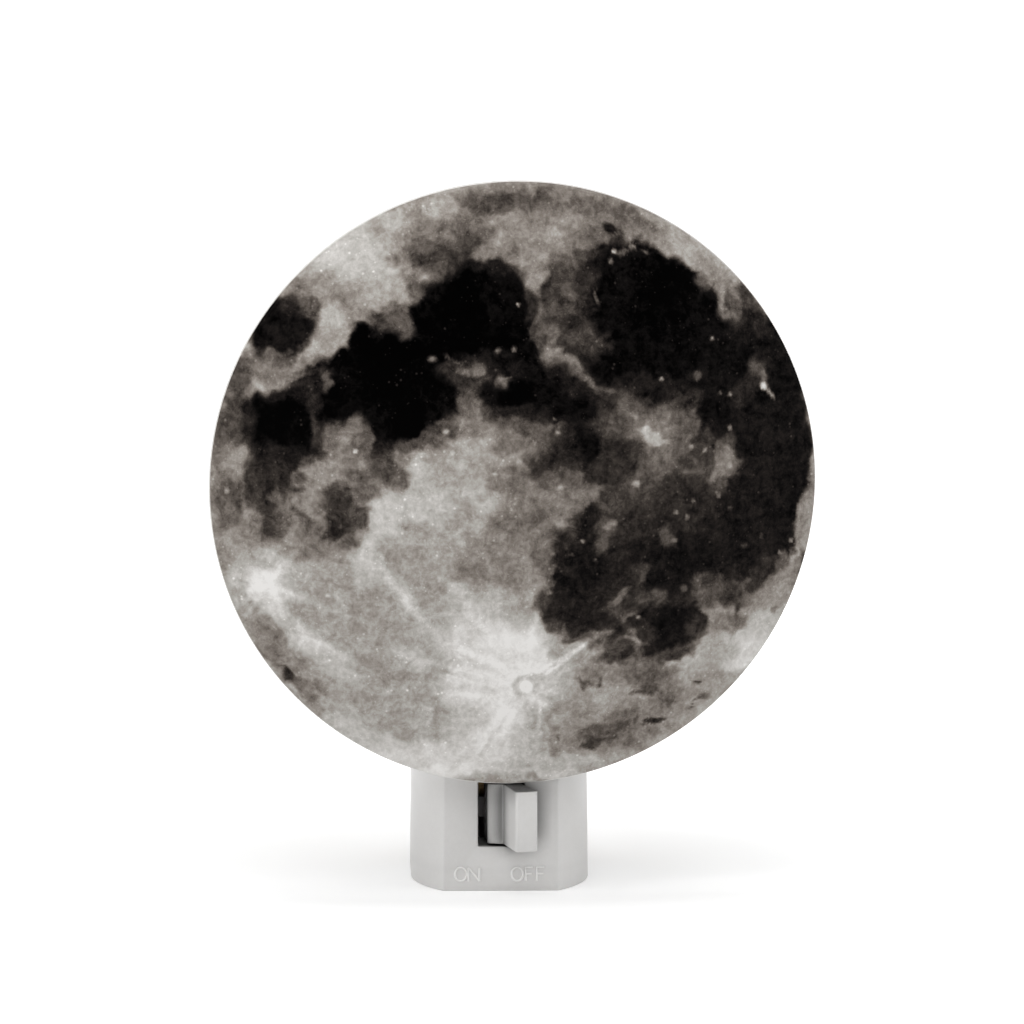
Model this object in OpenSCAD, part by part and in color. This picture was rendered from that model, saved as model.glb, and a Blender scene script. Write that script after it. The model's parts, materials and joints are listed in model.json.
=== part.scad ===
// Plug-in night light with a round moon shade, a rotary lever switch and a small screw-in bulb.
// Millimetres, +Z up, the front towards -Y and the plug blades towards +Y.
// The origin is the centre of the flat bottom face that the light stands on.

/* [Body] */
// Width of the body at the bottom, across its parallel flanks
body_w = 32.3; // [31:0.1:36]
// Depth of the body from the front panel to the wall face
body_d = 27; // [27:0.5:32]
// Height of the body
body_h = 42; // [42:0.5:48]
// Width of the flat front panel between the two creases
panel_w = 21; // [18:0.2:23]
// How far the curved flanks run back before they turn parallel
flank_d = 14.3; // [12:0.1:16]
// Draft of each flank, so that the body narrows towards its top
flank_draft = 0.55; // [0:0.05:1]
// Wall of the flanks, floor and top
wall = 1.6; // [1.4:0.1:2]
// Wall of the front panel
panel_t = 1.4; // [1.2:0.1:1.5]
// Thickness of the rear cover
cover_t = 3; // [2.8:0.1:3.4]

/* [Window] */
// Width of the window that the lever comes through
window_w = 8.4; // [8.2:0.1:9]
// Height of the window
window_h = 12; // [11.5:0.1:13]
// Height of the window's lower edge above the bottom
window_z = 8.2; // [7.5:0.1:9]

/* [Switch lever] */
// Distance of the lever's pivot behind the front panel
pivot_in = 6.6; // [6.5:0.1:7]
// Radius of the pivot pins
pin_r = 1.5; // [1.2:0.1:1.7]
// Running clearance of the pins in their bearings
pin_gap = 0.05; // [0.02:0.01:0.1]
// Radius of the hub between the bearings
hub_r = 3; // [2.6:0.1:3.4]
// Radius of the curved apron that closes the window
apron_r = 6.4; // [6:0.1:6.4]
// Half of the apron's angle
apron_half = 42; // [36:1:46]
// Reach of the thumb lever from the pivot
thumb_r = 14.9; // [12:0.1:17]
// Thickness of the thumb lever at its end
thumb_end_t = 4.2; // [3.6:0.1:4.6]
// Thickness of the thumb lever where it leaves the apron
thumb_root_t = 3.3; // [2.6:0.1:3.4]
// Turn of the lever from straight ahead when it is at OFF
lever_turn = 18; // [14:0.5:18]
// Gap between the moving lever and the parts above and below it
lever_gap = 0.4; // [0.3:0.05:0.6]
// Thickness of the two bearing ledges
ledge_t = 2.2; // [1.8:0.1:2.6]

/* [Contacts] */
// Radius of the moving contact's outer face
wiper_r = 4.9; // [4.7:0.05:4.9]
// Half of the moving contact's angle
wiper_half = 58; // [54:1:62]
// Thickness of the brass strips
strip_t = 0.5; // [0.4:0.05:0.6]
// Width of the brass strips
strip_w = 2.6; // [2:0.1:2.8]
// Radius of the contact buttons
button_r = 0.9; // [0.6:0.05:1]
// Gap left between the buttons and the moving contact
button_gap = 0.14; // [0.1:0.01:0.2]

/* [Plug] */
// Distance between the centres of the two blades
blade_pitch = 12.7; // [12.7:0.1:12.9]
// Thickness of a blade
blade_t = 1.5; // [1.4:0.05:1.6]
// Width of the line blade
line_w = 6.3; // [6:0.1:6.5]
// Width of the neutral blade
neutral_w = 7.9; // [7.5:0.1:8.1]
// Length of the blades outside the wall face
blade_len = 17; // [15.5:0.5:18]
// Height of the blades above the bottom
blade_z = 27; // [26.5:0.1:28]
// Radius of the hole near each blade's tip
blade_hole_r = 2; // [1.5:0.1:2.1]
// Distance of that hole from the wall face
blade_hole_y = 11.7; // [11:0.1:12]

/* [Socket] */
// Distance of the socket axis behind the body's middle
socket_y = 1; // [0.5:0.1:1.2]
// Outer radius of the socket tower
tower_r = 8.2; // [8:0.1:8.4]
// Height of the tower above the body
tower_h = 16; // [15:0.5:18]
// Inner radius of the metal screw shell
shell_r = 6; // [5.9:0.05:6.1]
// Thickness of the metal screw shell
shell_t = 0.4; // [0.3:0.05:0.5]
// Clearance between the shell and the tower's bore
shell_gap = 0.1; // [0.05:0.05:0.2]

/* [Bulb] */
// Largest radius of the bulb
bulb_r = 11; // [10:0.25:11.5]
// Overall length of the bulb
bulb_len = 54; // [50:0.5:57]
// Radius of the bulb's screw base
bulb_base_r = 5.9; // [5.7:0.05:5.9]
// Length of the bulb's metal base
bulb_base_h = 14.4; // [13:0.1:15]
// Thickness of the bulb's glass
glass_t = 0.7; // [0.5:0.1:0.9]
// Height of the glass mount inside the bulb
stem_h = 13; // [11:0.5:15]
// Height of the filament's feet above the glass mount
filament_rise = 7; // [6:0.5:9]
// Half of the filament's span
filament_half = 5; // [4:0.25:6]

/* [Moon shade] */
// Outer radius of the round shade
shade_r = 55; // [50:0.5:60]
// Gap between the top of the lever and the shade's lower edge
rim_clear = 1.3; // [1:0.1:6]
// How far the middle of the shade stands out of its rim
shade_rise = 12; // [9:0.5:15]
// Wall of the shade, and the width of its rounded rim
shade_t = 2; // [1.8:0.1:2.4]
// Distance of the rim in front of the body's panel
rim_gap = 5; // [4.5:0.5:7]
// Turn of the shade on its clip from straight ahead
shade_turn = 5.5; // [0:0.5:8]

/* [Shade clip] */
// Height of the clip ring
clip_h = 10; // [8:0.5:11]
// Thickness of the clip ring
clip_t = 1.6; // [1.4:0.1:1.8]
// Running clearance of the clip ring on the tower
clip_gap = 0.06; // [0.03:0.01:0.1]
// Half of the angle left open at the back of the ring
clip_open = 38; // [30:1:50]
// Width of the foot that the shade is screwed to
foot_w = 25; // [23:0.5:30]
// Thickness of the foot
foot_t = 2; // [1.8:0.1:2.4]
// Distance of each clip screw from the middle
clip_screw_x = 8; // [7.5:0.1:8.5]
// Radius of the screw bosses inside the shade
boss_r = 3; // [2.8:0.1:3.4]
// Length of the screw bosses inside the shade
boss_len = 4.2; // [4:0.1:5]

/* [Screws] */
// Radius of the screw shanks
screw_r = 0.95; // [0.9:0.05:1.1]
// Radius of the screw heads
screw_head_r = 2; // [1.8:0.1:2.1]
// Height of the screw heads
screw_head_h = 1.3; // [1.1:0.1:1.4]
// Distance of each cover screw from the middle
cover_screw_x = 10.3; // [9.8:0.1:10.4]
// Height of the cover screws above the bottom
cover_screw_z = 6; // [5.6:0.1:6.4]
// Length of the cover screws' shanks
cover_screw_len = 8; // [6:0.5:10]
// Length of the clip screws in their bosses
clip_screw_len = 3.2; // [2.6:0.1:3.5]

/* [Hidden] */
$fn = 96;

// A cut reaches this far past the face that it opens
over = 1;
// Small air gap between fixed pieces that lie beside each other
fit = 0.1;
// Air around a screw's shank in its pilot hole
pilot_gap = 0.02;

front_y = -body_d / 2;
wall_y = body_d / 2;
cover_y = wall_y - cover_t;
inner_front_y = front_y + panel_t;
flank_in = (body_w - panel_w) / 2;
flank_r = (flank_d * flank_d + flank_in * flank_in) / (2 * flank_in);
tangent_y = front_y + flank_d;
top_in_z = body_h - wall;

// Switch
pivot_y = front_y + pivot_in;
window_top = window_z + window_h;
hub_gap = lever_gap / 2;
lever_z0 = window_z + lever_gap;
lever_z1 = window_top - lever_gap - 0.1;
bearing_r = pin_r + pin_gap;
ledge_w = 8.4;
ledge_back_y = pivot_y + hub_r;
keeper_w = 2;
keeper_gap = 0.15;
wiper_t = 0.5;
wiper_mid_z = (lever_z0 + lever_z1) / 2;
carrier_r = wiper_r - wiper_t;

// Plug and strips
blade_x = blade_pitch / 2;
blade_in_y = cover_y - 5;
shoulder_d = 2.4;
shoulder_h = 1.2;
strip_x1 = blade_x - blade_t / 2;
strip_x0 = strip_x1 - strip_t;
rivet_y = cover_y - shoulder_d - 1.1;
rivet_r = 0.9;
rivet_head_r = 1.5;
rivet_head_t = 0.3;
line_button_y = pivot_y + 2.1;
button_front_x = sqrt(pow(wiper_r + button_gap, 2) - pow(line_button_y - button_r - pivot_y, 2));
centre_button_x = -2.4;
centre_button_y = pivot_y + sqrt(pow(wiper_r + button_gap, 2) - pow(-centre_button_x - button_r, 2));
centre_strip_y = centre_button_y + 0.25;
centre_strip_x = centre_button_x - 0.2;

strip_z0 = blade_z - strip_w / 2;
strip_z1 = blade_z + strip_w / 2;
contact_z0 = wiper_mid_z - strip_w / 2;

// Cover screws
boss_out_r = screw_r + 1.45;
cover_bore_r = screw_head_r + 0.15;
cover_sink = screw_head_h + 0.4;

// Socket, from the floor of the tower up
flange_r = tower_r + 0.7;
flange_t = 2.2;
flange_z = top_in_z - fit - flange_t;
tower_floor_z = flange_z + 1.6;
tower_top_z = body_h + tower_h;
tower_bore_r = shell_r + shell_t + shell_gap;
washer_t = 0.8;
shell_z = tower_floor_z + washer_t + strip_t;
shell_top_z = tower_top_z - 2;
contact_hole_r = 3.2;
pad_half = 1.9;
pad_z = tower_floor_z + washer_t - 0.2;
collar_h = 1.8;
collar_r = tower_r + 1.2;

// Bulb, from its tip up
bulb_z = tower_floor_z + washer_t;
tip_h = 0.9;
insulator_r = 3.6;
mouth_h = 0.6;
bulb_base_z = bulb_z + 3 * tip_h;
glass_z = bulb_base_z + bulb_base_h - mouth_h;
bulb_top_z = bulb_z + bulb_len;
stem_top_r = 1.5;
stem_top_z = glass_z + stem_h;
lead_sunk = 1.2;
lead_r = 0.3;

// Shade, measured from the socket axis: the rim's middle line lies at rim_y and on a sphere of dome_r
shade_z = lever_z1 + rim_clear + shade_r;
rim_mid_r = shade_r - shade_t / 2;
rim_y = front_y - rim_gap - shade_t / 2 - socket_y;
dome_r = (rim_mid_r * rim_mid_r + shade_rise * shade_rise) / (2 * shade_rise);
dome_drop = dome_r - shade_rise;
clip_z = body_h + collar_h + 0.2;
clip_mid_z = clip_z + clip_h / 2;
clip_in_r = tower_r + clip_gap;
clip_out_r = clip_in_r + clip_t;
boss_off = sqrt(pow(clip_screw_x, 2) + pow(clip_mid_z - shade_z, 2));
boss_root_y = rim_y - dome_depth(boss_off);
foot_y = boss_root_y + boss_len;

// Depth of the dome's inner face in front of the rim at a distance from the dome's axis
function dome_depth(off) = sqrt(pow(dome_r - shade_t / 2, 2) - off * off) - dome_drop;

// Height up the glass where it is widest, as a share of its length
glass_wide = 0.42;
glass_neck_r = 5.2;
glass_steps = 32;
// Radius of the glass at a share t of its height
function glass_radius(t) =
    t < glass_wide
    ? glass_neck_r + (bulb_r - glass_neck_r) * pow(sin(90 * t / glass_wide), 1.15)
    : bulb_r * pow(max(0, 1 - pow((t - glass_wide) / (1 - glass_wide), 1.9)), 0.62);

module at_pivot() {
    translate([0, pivot_y, 0])
        children();
}

module at_socket() {
    translate([0, socket_y, 0])
        children();
}

// Everything that turns with the shade is drawn straight ahead and then turned about the socket axis
module at_clip() {
    at_socket()
        rotate([0, 0, shade_turn])
            children();
}

module both_sides() {
    children();
    mirror([1, 0, 0])
        children();
}

// A flat wedge about the origin that points along -Y
module wedge(reach, half) {
    polygon([[0, 0], [-reach * sin(half), -reach * cos(half)], [0, -2 * reach],
             [reach * sin(half), -reach * cos(half)]]);
}

// A cylinder with its axis along +Y
module rod_y(r, y0, y1) {
    translate([0, y0, 0])
        rotate([-90, 0, 0])
            cylinder(r = r, h = y1 - y0);
}

// A cylinder with its axis along +X
module rod_x(r, x0, x1) {
    translate([x0, 0, 0])
        rotate([0, 90, 0])
            cylinder(r = r, h = x1 - x0);
}

module block(low, high) {
    translate(low)
        cube(high - low);
}

// ---------- Body ----------

// Plan of the right flank: a long arc that runs into a parallel side
module flank_plan(inset) {
    translate([body_w / 2 - flank_r, tangent_y])
        circle(r = flank_r - inset);
    translate([-body_w, tangent_y])
        square([body_w * 1.5 - inset, body_d]);
}

// The body's outer form, or a form that lies inset inside its flanks
module body_form(inset, y0, y1, z0, z1) {
    intersection() {
        block([-body_w, y0, z0], [body_w, y1, z1]);
        rotate([0, -flank_draft, 0])
            translate([0, 0, -body_h])
                linear_extrude(3 * body_h)
                    flank_plan(inset);
        mirror([1, 0, 0])
            rotate([0, -flank_draft, 0])
                translate([0, 0, -body_h])
                    linear_extrude(3 * body_h)
                        flank_plan(inset);
    }
}

// A ledge behind the window whose slot holds a pivot pin, open to the back so that the lever slides in
module bearing_ledge(z) {
    difference() {
        block([-ledge_w / 2, inner_front_y - over / 2, z], [ledge_w / 2, ledge_back_y, z + ledge_t]);
        at_pivot()
            translate([0, 0, z - over])
                cylinder(r = bearing_r, h = ledge_t + 2 * over);
        block([-bearing_r, pivot_y, z - over], [bearing_r, ledge_back_y + over, z + ledge_t + over]);
    }
}

module cover_boss() {
    translate([cover_screw_x, 0, cover_screw_z])
        rod_y(boss_out_r, pivot_y, cover_y);
    block([cover_screw_x - 0.6, pivot_y, wall / 2], [cover_screw_x + 0.6, cover_y, cover_screw_z]);
}

// A bracket on the flank that carries the flange of the socket tower
module flange_bracket() {
    bracket_t = 1.4;
    block([flange_r - 1.2, socket_y - bracket_t / 2, flange_z - 2.5],
          [body_w / 2 - wall / 2 - body_h * tan(flank_draft), socket_y + bracket_t / 2, flange_z]);
}

module front_housing() {
    color("gainsboro")
    difference() {
        union() {
            difference() {
                body_form(0, front_y, cover_y, 0, body_h);
                body_form(wall, inner_front_y, cover_y + over, wall, top_in_z);
            }
            bearing_ledge(window_z - ledge_t);
            bearing_ledge(window_top);
            both_sides()
                cover_boss();
            both_sides()
                flange_bracket();
            at_socket()
                translate([0, 0, body_h - wall / 2])
                    cylinder(r = collar_r, h = collar_h + wall / 2);
        }
        block([-window_w / 2, front_y - over, window_z],
              [window_w / 2, inner_front_y + over / 4, window_top]);
        at_socket()
            translate([0, 0, top_in_z - over])
                cylinder(r = tower_r + fit, h = wall + collar_h + 2 * over);
        both_sides()
            translate([cover_screw_x, 0, cover_screw_z])
                rod_y(screw_r + pilot_gap, wall_y - cover_sink - cover_screw_len - fit, cover_y + over);
    }
}

module blade_slot(x, w) {
    block([x - blade_t / 2 - fit, cover_y - over, blade_z - w / 2 - fit],
          [x + blade_t / 2 + fit, wall_y + over, blade_z + w / 2 + fit]);
}

// A rib that closes the slot of a bearing ledge behind the pivot pin
module pin_keeper(z) {
    block([-keeper_w / 2, pivot_y + pin_r + keeper_gap, z],
          [keeper_w / 2, cover_y + over / 2, z + ledge_t]);
}

// Tabs on the rear cover that reach inside the flanks and under the top
module locating_tabs() {
    tab_t = 1.2;
    tab_d = 2.2;
    side_tab_h = 8;
    side_tab_z = cover_screw_z + boss_out_r + side_tab_h * 0.8;
    top_tab_w = 3;
    side_x = body_w / 2 - wall - fit - body_h * tan(flank_draft);
    block([side_x - tab_t, cover_y - tab_d, side_tab_z],
          [side_x, cover_y + over / 2, side_tab_z + side_tab_h]);
    block([side_x - fit - top_tab_w, cover_y - tab_d, top_in_z - fit - tab_t],
          [side_x - fit, cover_y + over / 2, top_in_z - fit]);
}

module rear_cover() {
    color("gainsboro")
    difference() {
        union() {
            body_form(0, cover_y, wall_y, 0, body_h);
            pin_keeper(window_z - ledge_t);
            pin_keeper(window_top);
            both_sides()
                locating_tabs();
        }
        blade_slot(blade_x, line_w);
        blade_slot(-blade_x, neutral_w);
        both_sides()
            translate([cover_screw_x, 0, cover_screw_z]) {
                rod_y(screw_r + fit, cover_y - over, wall_y + over);
                rod_y(cover_bore_r, wall_y - cover_sink, wall_y + over);
            }
    }
}

// A pan-head screw along Y with its head towards +Y and the underside of the head at y = 0
module pan_screw(length) {
    slot_half = 0.25;
    slot_reach = screw_head_r * 0.6;
    difference() {
        union() {
            rod_y(screw_r, -length, over / 2);
            rod_y(screw_head_r, 0, screw_head_h);
        }
        block([-slot_half, screw_head_h / 2, -slot_reach], [slot_half, screw_head_h + over, slot_reach]);
        block([-slot_reach, screw_head_h / 2, -slot_half], [slot_reach, screw_head_h + over, slot_half]);
    }
}

module cover_screws() {
    color("silver")
    both_sides()
        translate([cover_screw_x, wall_y - cover_sink, cover_screw_z])
            pan_screw(cover_screw_len);
}

// ---------- Plug blades and brass strips ----------

// A flat blade with a cut-back tip, a hole near it and shoulders behind the rear cover
module blade(x, w) {
    tip_cut = 1.2;
    edge_cut = 0.45;
    tip_y = wall_y + blade_len;
    difference() {
        intersection() {
            translate([x - blade_t / 2, 0, blade_z])
                rotate([90, 0, 90])
                    linear_extrude(blade_t)
                        polygon([[blade_in_y, -w / 2 + 0.4], [cover_y - shoulder_d, -w / 2 + 0.4],
                                 [cover_y - shoulder_d, -w / 2 - shoulder_h], [cover_y, -w / 2 - shoulder_h],
                                 [cover_y, -w / 2], [tip_y - tip_cut, -w / 2],
                                 [tip_y, -w / 2 + tip_cut], [tip_y, w / 2 - tip_cut],
                                 [tip_y - tip_cut, w / 2], [cover_y, w / 2],
                                 [cover_y, w / 2 + shoulder_h], [cover_y - shoulder_d, w / 2 + shoulder_h],
                                 [cover_y - shoulder_d, w / 2 - 0.4], [blade_in_y, w / 2 - 0.4]]);
            translate([x, 0, blade_z - w])
                linear_extrude(2 * w)
                    polygon([[-blade_t / 2, blade_in_y - over], [-blade_t / 2, tip_y - 2 * edge_cut],
                             [-blade_t / 2 + edge_cut, tip_y], [blade_t / 2 - edge_cut, tip_y],
                             [blade_t / 2, tip_y - 2 * edge_cut], [blade_t / 2, blade_in_y - over]]);
        }
        translate([0, wall_y + blade_hole_y, blade_z])
            rod_x(blade_hole_r, x - blade_t, x + blade_t);
        translate([0, rivet_y, blade_z])
            rod_x(rivet_r, x - blade_t, x + blade_t);
    }
}

module line_blade() {
    color("silver")
        blade(blade_x, line_w);
}

module neutral_blade() {
    color("silver")
        blade(-blade_x, neutral_w);
}

module blade_rivets() {
    color("silver")
    both_sides()
        translate([0, rivet_y, blade_z]) {
            rod_x(rivet_r, strip_x0 - rivet_head_t, blade_x + blade_t / 2 + rivet_head_t);
            rod_x(rivet_head_r, strip_x0 - rivet_head_t, strip_x0);
            rod_x(rivet_head_r, blade_x + blade_t / 2, blade_x + blade_t / 2 + rivet_head_t);
        }
}

// Runs forward from the line blade and down beside the lever's hub
module line_strip() {
    color("goldenrod")
    difference() {
        union() {
            block([strip_x0, line_button_y - strip_w / 2, strip_z0],
                  [strip_x1, rivet_y + strip_w / 2, strip_z1]);
            block([strip_x0, line_button_y - strip_w / 2, contact_z0],
                  [strip_x1, line_button_y + strip_w / 2, strip_z1]);
        }
        translate([0, rivet_y, blade_z])
            rod_x(rivet_r, strip_x0 - over, strip_x1 + over);
    }
}

// Runs from the neutral blade up through the tower's floor to the bottom of the screw shell
module neutral_strip() {
    strip_y0 = socket_y - strip_w / 2;
    color("goldenrod")
    difference() {
        union() {
            block([-strip_x1, strip_y0, strip_z0], [-strip_x0, rivet_y + strip_w / 2, strip_z1]);
            block([-strip_x1, strip_y0, strip_z0], [-strip_x0, strip_y0 + strip_w, shell_z]);
            block([-strip_x1, strip_y0, shell_z - strip_t], [-strip_x0 + 1.1, strip_y0 + strip_w, shell_z]);
        }
        translate([0, rivet_y, blade_z])
            rod_x(rivet_r, -strip_x1 - over, -strip_x0 + over);
    }
}

// Runs from beside the lever's hub up to a folded tongue under the tip of the bulb
module centre_strip() {
    bend_z = flange_z - 1.3;
    x0 = centre_strip_x - strip_w / 2;
    x1 = centre_strip_x + strip_w / 2;
    riser_y = socket_y + pad_half - strip_t;
    color("goldenrod") {
        block([x0, centre_strip_y, contact_z0], [x1, centre_strip_y + strip_t, bend_z + strip_t]);
        block([x0, centre_strip_y, bend_z], [pad_half, riser_y + strip_t, bend_z + strip_t]);
        block([-pad_half, riser_y, bend_z], [pad_half, riser_y + strip_t, pad_z]);
        block([-pad_half, socket_y - pad_half, pad_z - strip_t], [pad_half, riser_y + strip_t, pad_z]);
    }
}

// One button on the line strip, one on the centre strip
module contact_buttons() {
    color("silver") {
        translate([0, line_button_y, wiper_mid_z])
            rod_x(button_r, button_front_x, strip_x0);
        translate([centre_button_x, 0, wiper_mid_z])
            rod_y(button_r, centre_button_y, centre_strip_y);
    }
}

// ---------- Socket ----------

module strip_slot(z0, z1) {
    block([-strip_x1 - fit, socket_y - strip_w / 2 - fit, z0],
          [-strip_x0 + fit, socket_y + strip_w / 2 + fit, z1]);
}

// The insulating tube that stands out of the body's top, with a flange held under it
module socket_tower() {
    lead_in = 0.8;
    color("whitesmoke")
    difference() {
        at_socket()
            rotate_extrude()
                polygon([[contact_hole_r, flange_z], [flange_r, flange_z], [flange_r, flange_z + flange_t],
                         [tower_r, flange_z + flange_t], [tower_r, tower_top_z - lead_in],
                         [tower_r - lead_in, tower_top_z], [tower_bore_r + lead_in / 2, tower_top_z],
                         [tower_bore_r, tower_top_z - lead_in], [tower_bore_r, tower_floor_z],
                         [contact_hole_r, tower_floor_z]]);
        strip_slot(flange_z - over, tower_floor_z + over / 4);
    }
}

module insulating_washer() {
    color("peru")
    difference() {
        at_socket()
            translate([0, 0, tower_floor_z])
                difference() {
                    cylinder(r = tower_bore_r - fit, h = washer_t);
                    translate([0, 0, -over])
                        cylinder(r = contact_hole_r, h = washer_t + 2 * over);
                }
        strip_slot(tower_floor_z - over, tower_floor_z + washer_t + over);
    }
}

module socket_shell() {
    color("goldenrod")
    at_socket()
        rotate_extrude()
            polygon([[contact_hole_r + 0.4, shell_z], [shell_r + shell_t, shell_z],
                     [shell_r + shell_t, shell_top_z], [shell_r, shell_top_z],
                     [shell_r, shell_z + shell_t], [contact_hole_r + 0.4, shell_z + shell_t]]);
}

// ---------- Switch lever ----------

// Plan of the thumb lever: two straight flanks that spread towards an end curved about the pivot
module thumb_plan() {
    corner = 0.3;
    end_half = thumb_end_t / 2;
    root_half = thumb_root_t / 2;
    intersection() {
        circle(r = thumb_r);
        polygon([[-root_half, -hub_r + over], [-root_half, -apron_r], [-end_half, -thumb_r + 2 * corner],
                 [-end_half + 2 * corner, -thumb_r - corner], [end_half - 2 * corner, -thumb_r - corner],
                 [end_half, -thumb_r + 2 * corner], [root_half, -apron_r], [root_half, -hub_r + over]]);
    }
}

module sector_plan(r, half) {
    intersection() {
        circle(r = r);
        wedge(2 * r, half);
    }
}

module switch_lever() {
    carrier_h = strip_w + 1.2;
    pin_h = ledge_t - 0.2;
    color("whitesmoke")
    at_pivot()
        rotate([0, 0, lever_turn]) {
            translate([0, 0, lever_z0])
                linear_extrude(lever_z1 - lever_z0)
                    union() {
                        sector_plan(apron_r, apron_half);
                        thumb_plan();
                    }
            translate([0, 0, window_z + hub_gap])
                cylinder(r = hub_r, h = window_h - 2 * hub_gap);
            translate([0, 0, window_z - pin_h])
                cylinder(r = pin_r, h = window_h + 2 * pin_h);
            translate([0, 0, wiper_mid_z - carrier_h / 2])
                linear_extrude(carrier_h)
                    rotate(180)
                        sector_plan(carrier_r, wiper_half);
        }
}

module moving_contact() {
    color("goldenrod")
    at_pivot()
        rotate([0, 0, lever_turn + 180])
            translate([0, 0, wiper_mid_z - strip_w / 2])
                linear_extrude(strip_w)
                    difference() {
                        sector_plan(wiper_r, wiper_half);
                        circle(r = carrier_r);
                    }
}

// ---------- Bulb ----------

// The glass, or the space inside it when inset is its wall
module glass_form(inset) {
    z0 = glass_z + inset;
    z1 = bulb_top_z - inset;
    profile = [for (i = [0 : glass_steps])
               let (t = i / glass_steps)
               [max(0, glass_radius(t) - inset * (1 - pow(t, 12))), z0 + t * (z1 - z0)]];
    rotate_extrude()
        polygon(concat([[0, z0]], profile));
}

module bulb_glass() {
    color("white", 0.4)
    at_socket()
        difference() {
            glass_form(0);
            glass_form(glass_t);
        }
}

// The metal base, whose mouth holds the neck of the glass
module bulb_base() {
    metal_t = 0.3;
    mouth_r = glass_neck_r + 0.4;
    mouth_z = glass_z + mouth_h;
    inner_r = bulb_base_r - metal_t - 0.4;
    color("silver")
    at_socket()
        rotate_extrude()
            polygon([[insulator_r, bulb_base_z], [bulb_base_r - 0.7, bulb_base_z],
                     [bulb_base_r, bulb_base_z + 0.9], [bulb_base_r, mouth_z], [mouth_r, mouth_z],
                     [mouth_r, glass_z - 0.1], [inner_r, glass_z - metal_t],
                     [inner_r, bulb_base_z + 1.2], [insulator_r, bulb_base_z + metal_t]]);
}

// The black glass that keeps the tip apart from the metal base
module bulb_insulator() {
    flare_r = insulator_r + 1;
    color("black")
    at_socket()
        rotate_extrude()
            polygon([[0, bulb_z + tip_h], [insulator_r - 1, bulb_z + tip_h],
                     [insulator_r - 0.2, bulb_base_z - 0.5], [flare_r, bulb_base_z - 0.2],
                     [flare_r, bulb_base_z], [insulator_r - 0.1, bulb_base_z],
                     [insulator_r - 0.1, bulb_base_z + tip_h], [0, bulb_base_z + tip_h]]);
}

module bulb_tip() {
    crown_r = 3;
    color("lightgray")
    at_socket()
        translate([0, 0, bulb_z + tip_h])
            mirror([0, 0, 1])
                intersection() {
                    cylinder(r = insulator_r / 2, h = tip_h);
                    translate([0, 0, tip_h - crown_r])
                        sphere(r = crown_r);
                }
}

// Two wires, or the bores that hold them, from inside the glass mount to the filament's feet
module lead_pair(r) {
    root_x = 0.4;
    lead_h = filament_rise + lead_sunk;
    spread = atan((filament_half - root_x) / lead_h);
    both_sides()
        translate([root_x, 0, stem_top_z - lead_sunk])
            rotate([0, spread, 0])
                cylinder(r = r, h = lead_h / cos(spread));
}

// The pressed glass mount that holds the lead wires
module bulb_stem() {
    foot_r = glass_neck_r - glass_t - 0.9;
    foot_z = glass_z + glass_t;
    flare_h = stem_h / 4;
    color("white", 0.5)
    at_socket()
        difference() {
            rotate_extrude()
                polygon([[0, foot_z], [foot_r, foot_z], [stem_top_r + 0.5, foot_z + flare_h],
                         [stem_top_r, stem_top_z], [0, stem_top_z + stem_top_r / 3]]);
            lead_pair(lead_r + pilot_gap);
        }
}

module bulb_leads() {
    color("dimgray")
    at_socket()
        lead_pair(lead_r);
}

// The filament's path, an arch between the ends of the two lead wires
module bulb_filament() {
    filament_r = 0.25;
    color("dimgray")
    at_socket()
        translate([0, 0, stem_top_z + filament_rise + filament_r])
            rotate([90, 0, 0])
                rotate_extrude(angle = 180)
                    translate([filament_half, 0])
                        circle(r = filament_r);
}

// ---------- Shade ----------

// Turns a shape drawn about +Z so that +Z becomes -Y, and lifts it to the shade's centre
module facing_front() {
    translate([0, rim_y, shade_z])
        rotate([90, 0, 0])
            children();
}

module clip_bosses(r, y0, y1) {
    both_sides()
        translate([clip_screw_x, 0, clip_mid_z])
            rod_y(r, y0, y1);
}

// Half of the dome's wall in section, out to the radius where its rounded rim begins
module dome_section() {
    intersection() {
        translate([0, -dome_drop])
            difference() {
                circle(r = dome_r + shade_t / 2);
                circle(r = dome_r - shade_t / 2);
            }
        polygon([[0, -dome_drop], [3 * rim_mid_r, 2 * dome_drop], [0, 2 * dome_drop]]);
    }
}

// A shallow dome with a fully rounded rim and two screw bosses inside
module moon_shade() {
    color("lightgray")
    at_clip()
        difference() {
            union() {
                facing_front()
                    rotate_extrude() {
                        dome_section();
                        translate([rim_mid_r, 0])
                            circle(r = shade_t / 2);
                    }
                clip_bosses(boss_r, boss_root_y - shade_t / 2, foot_y);
            }
            clip_bosses(screw_r + pilot_gap, foot_y - clip_screw_len - fit, foot_y + over);
        }
}

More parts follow.
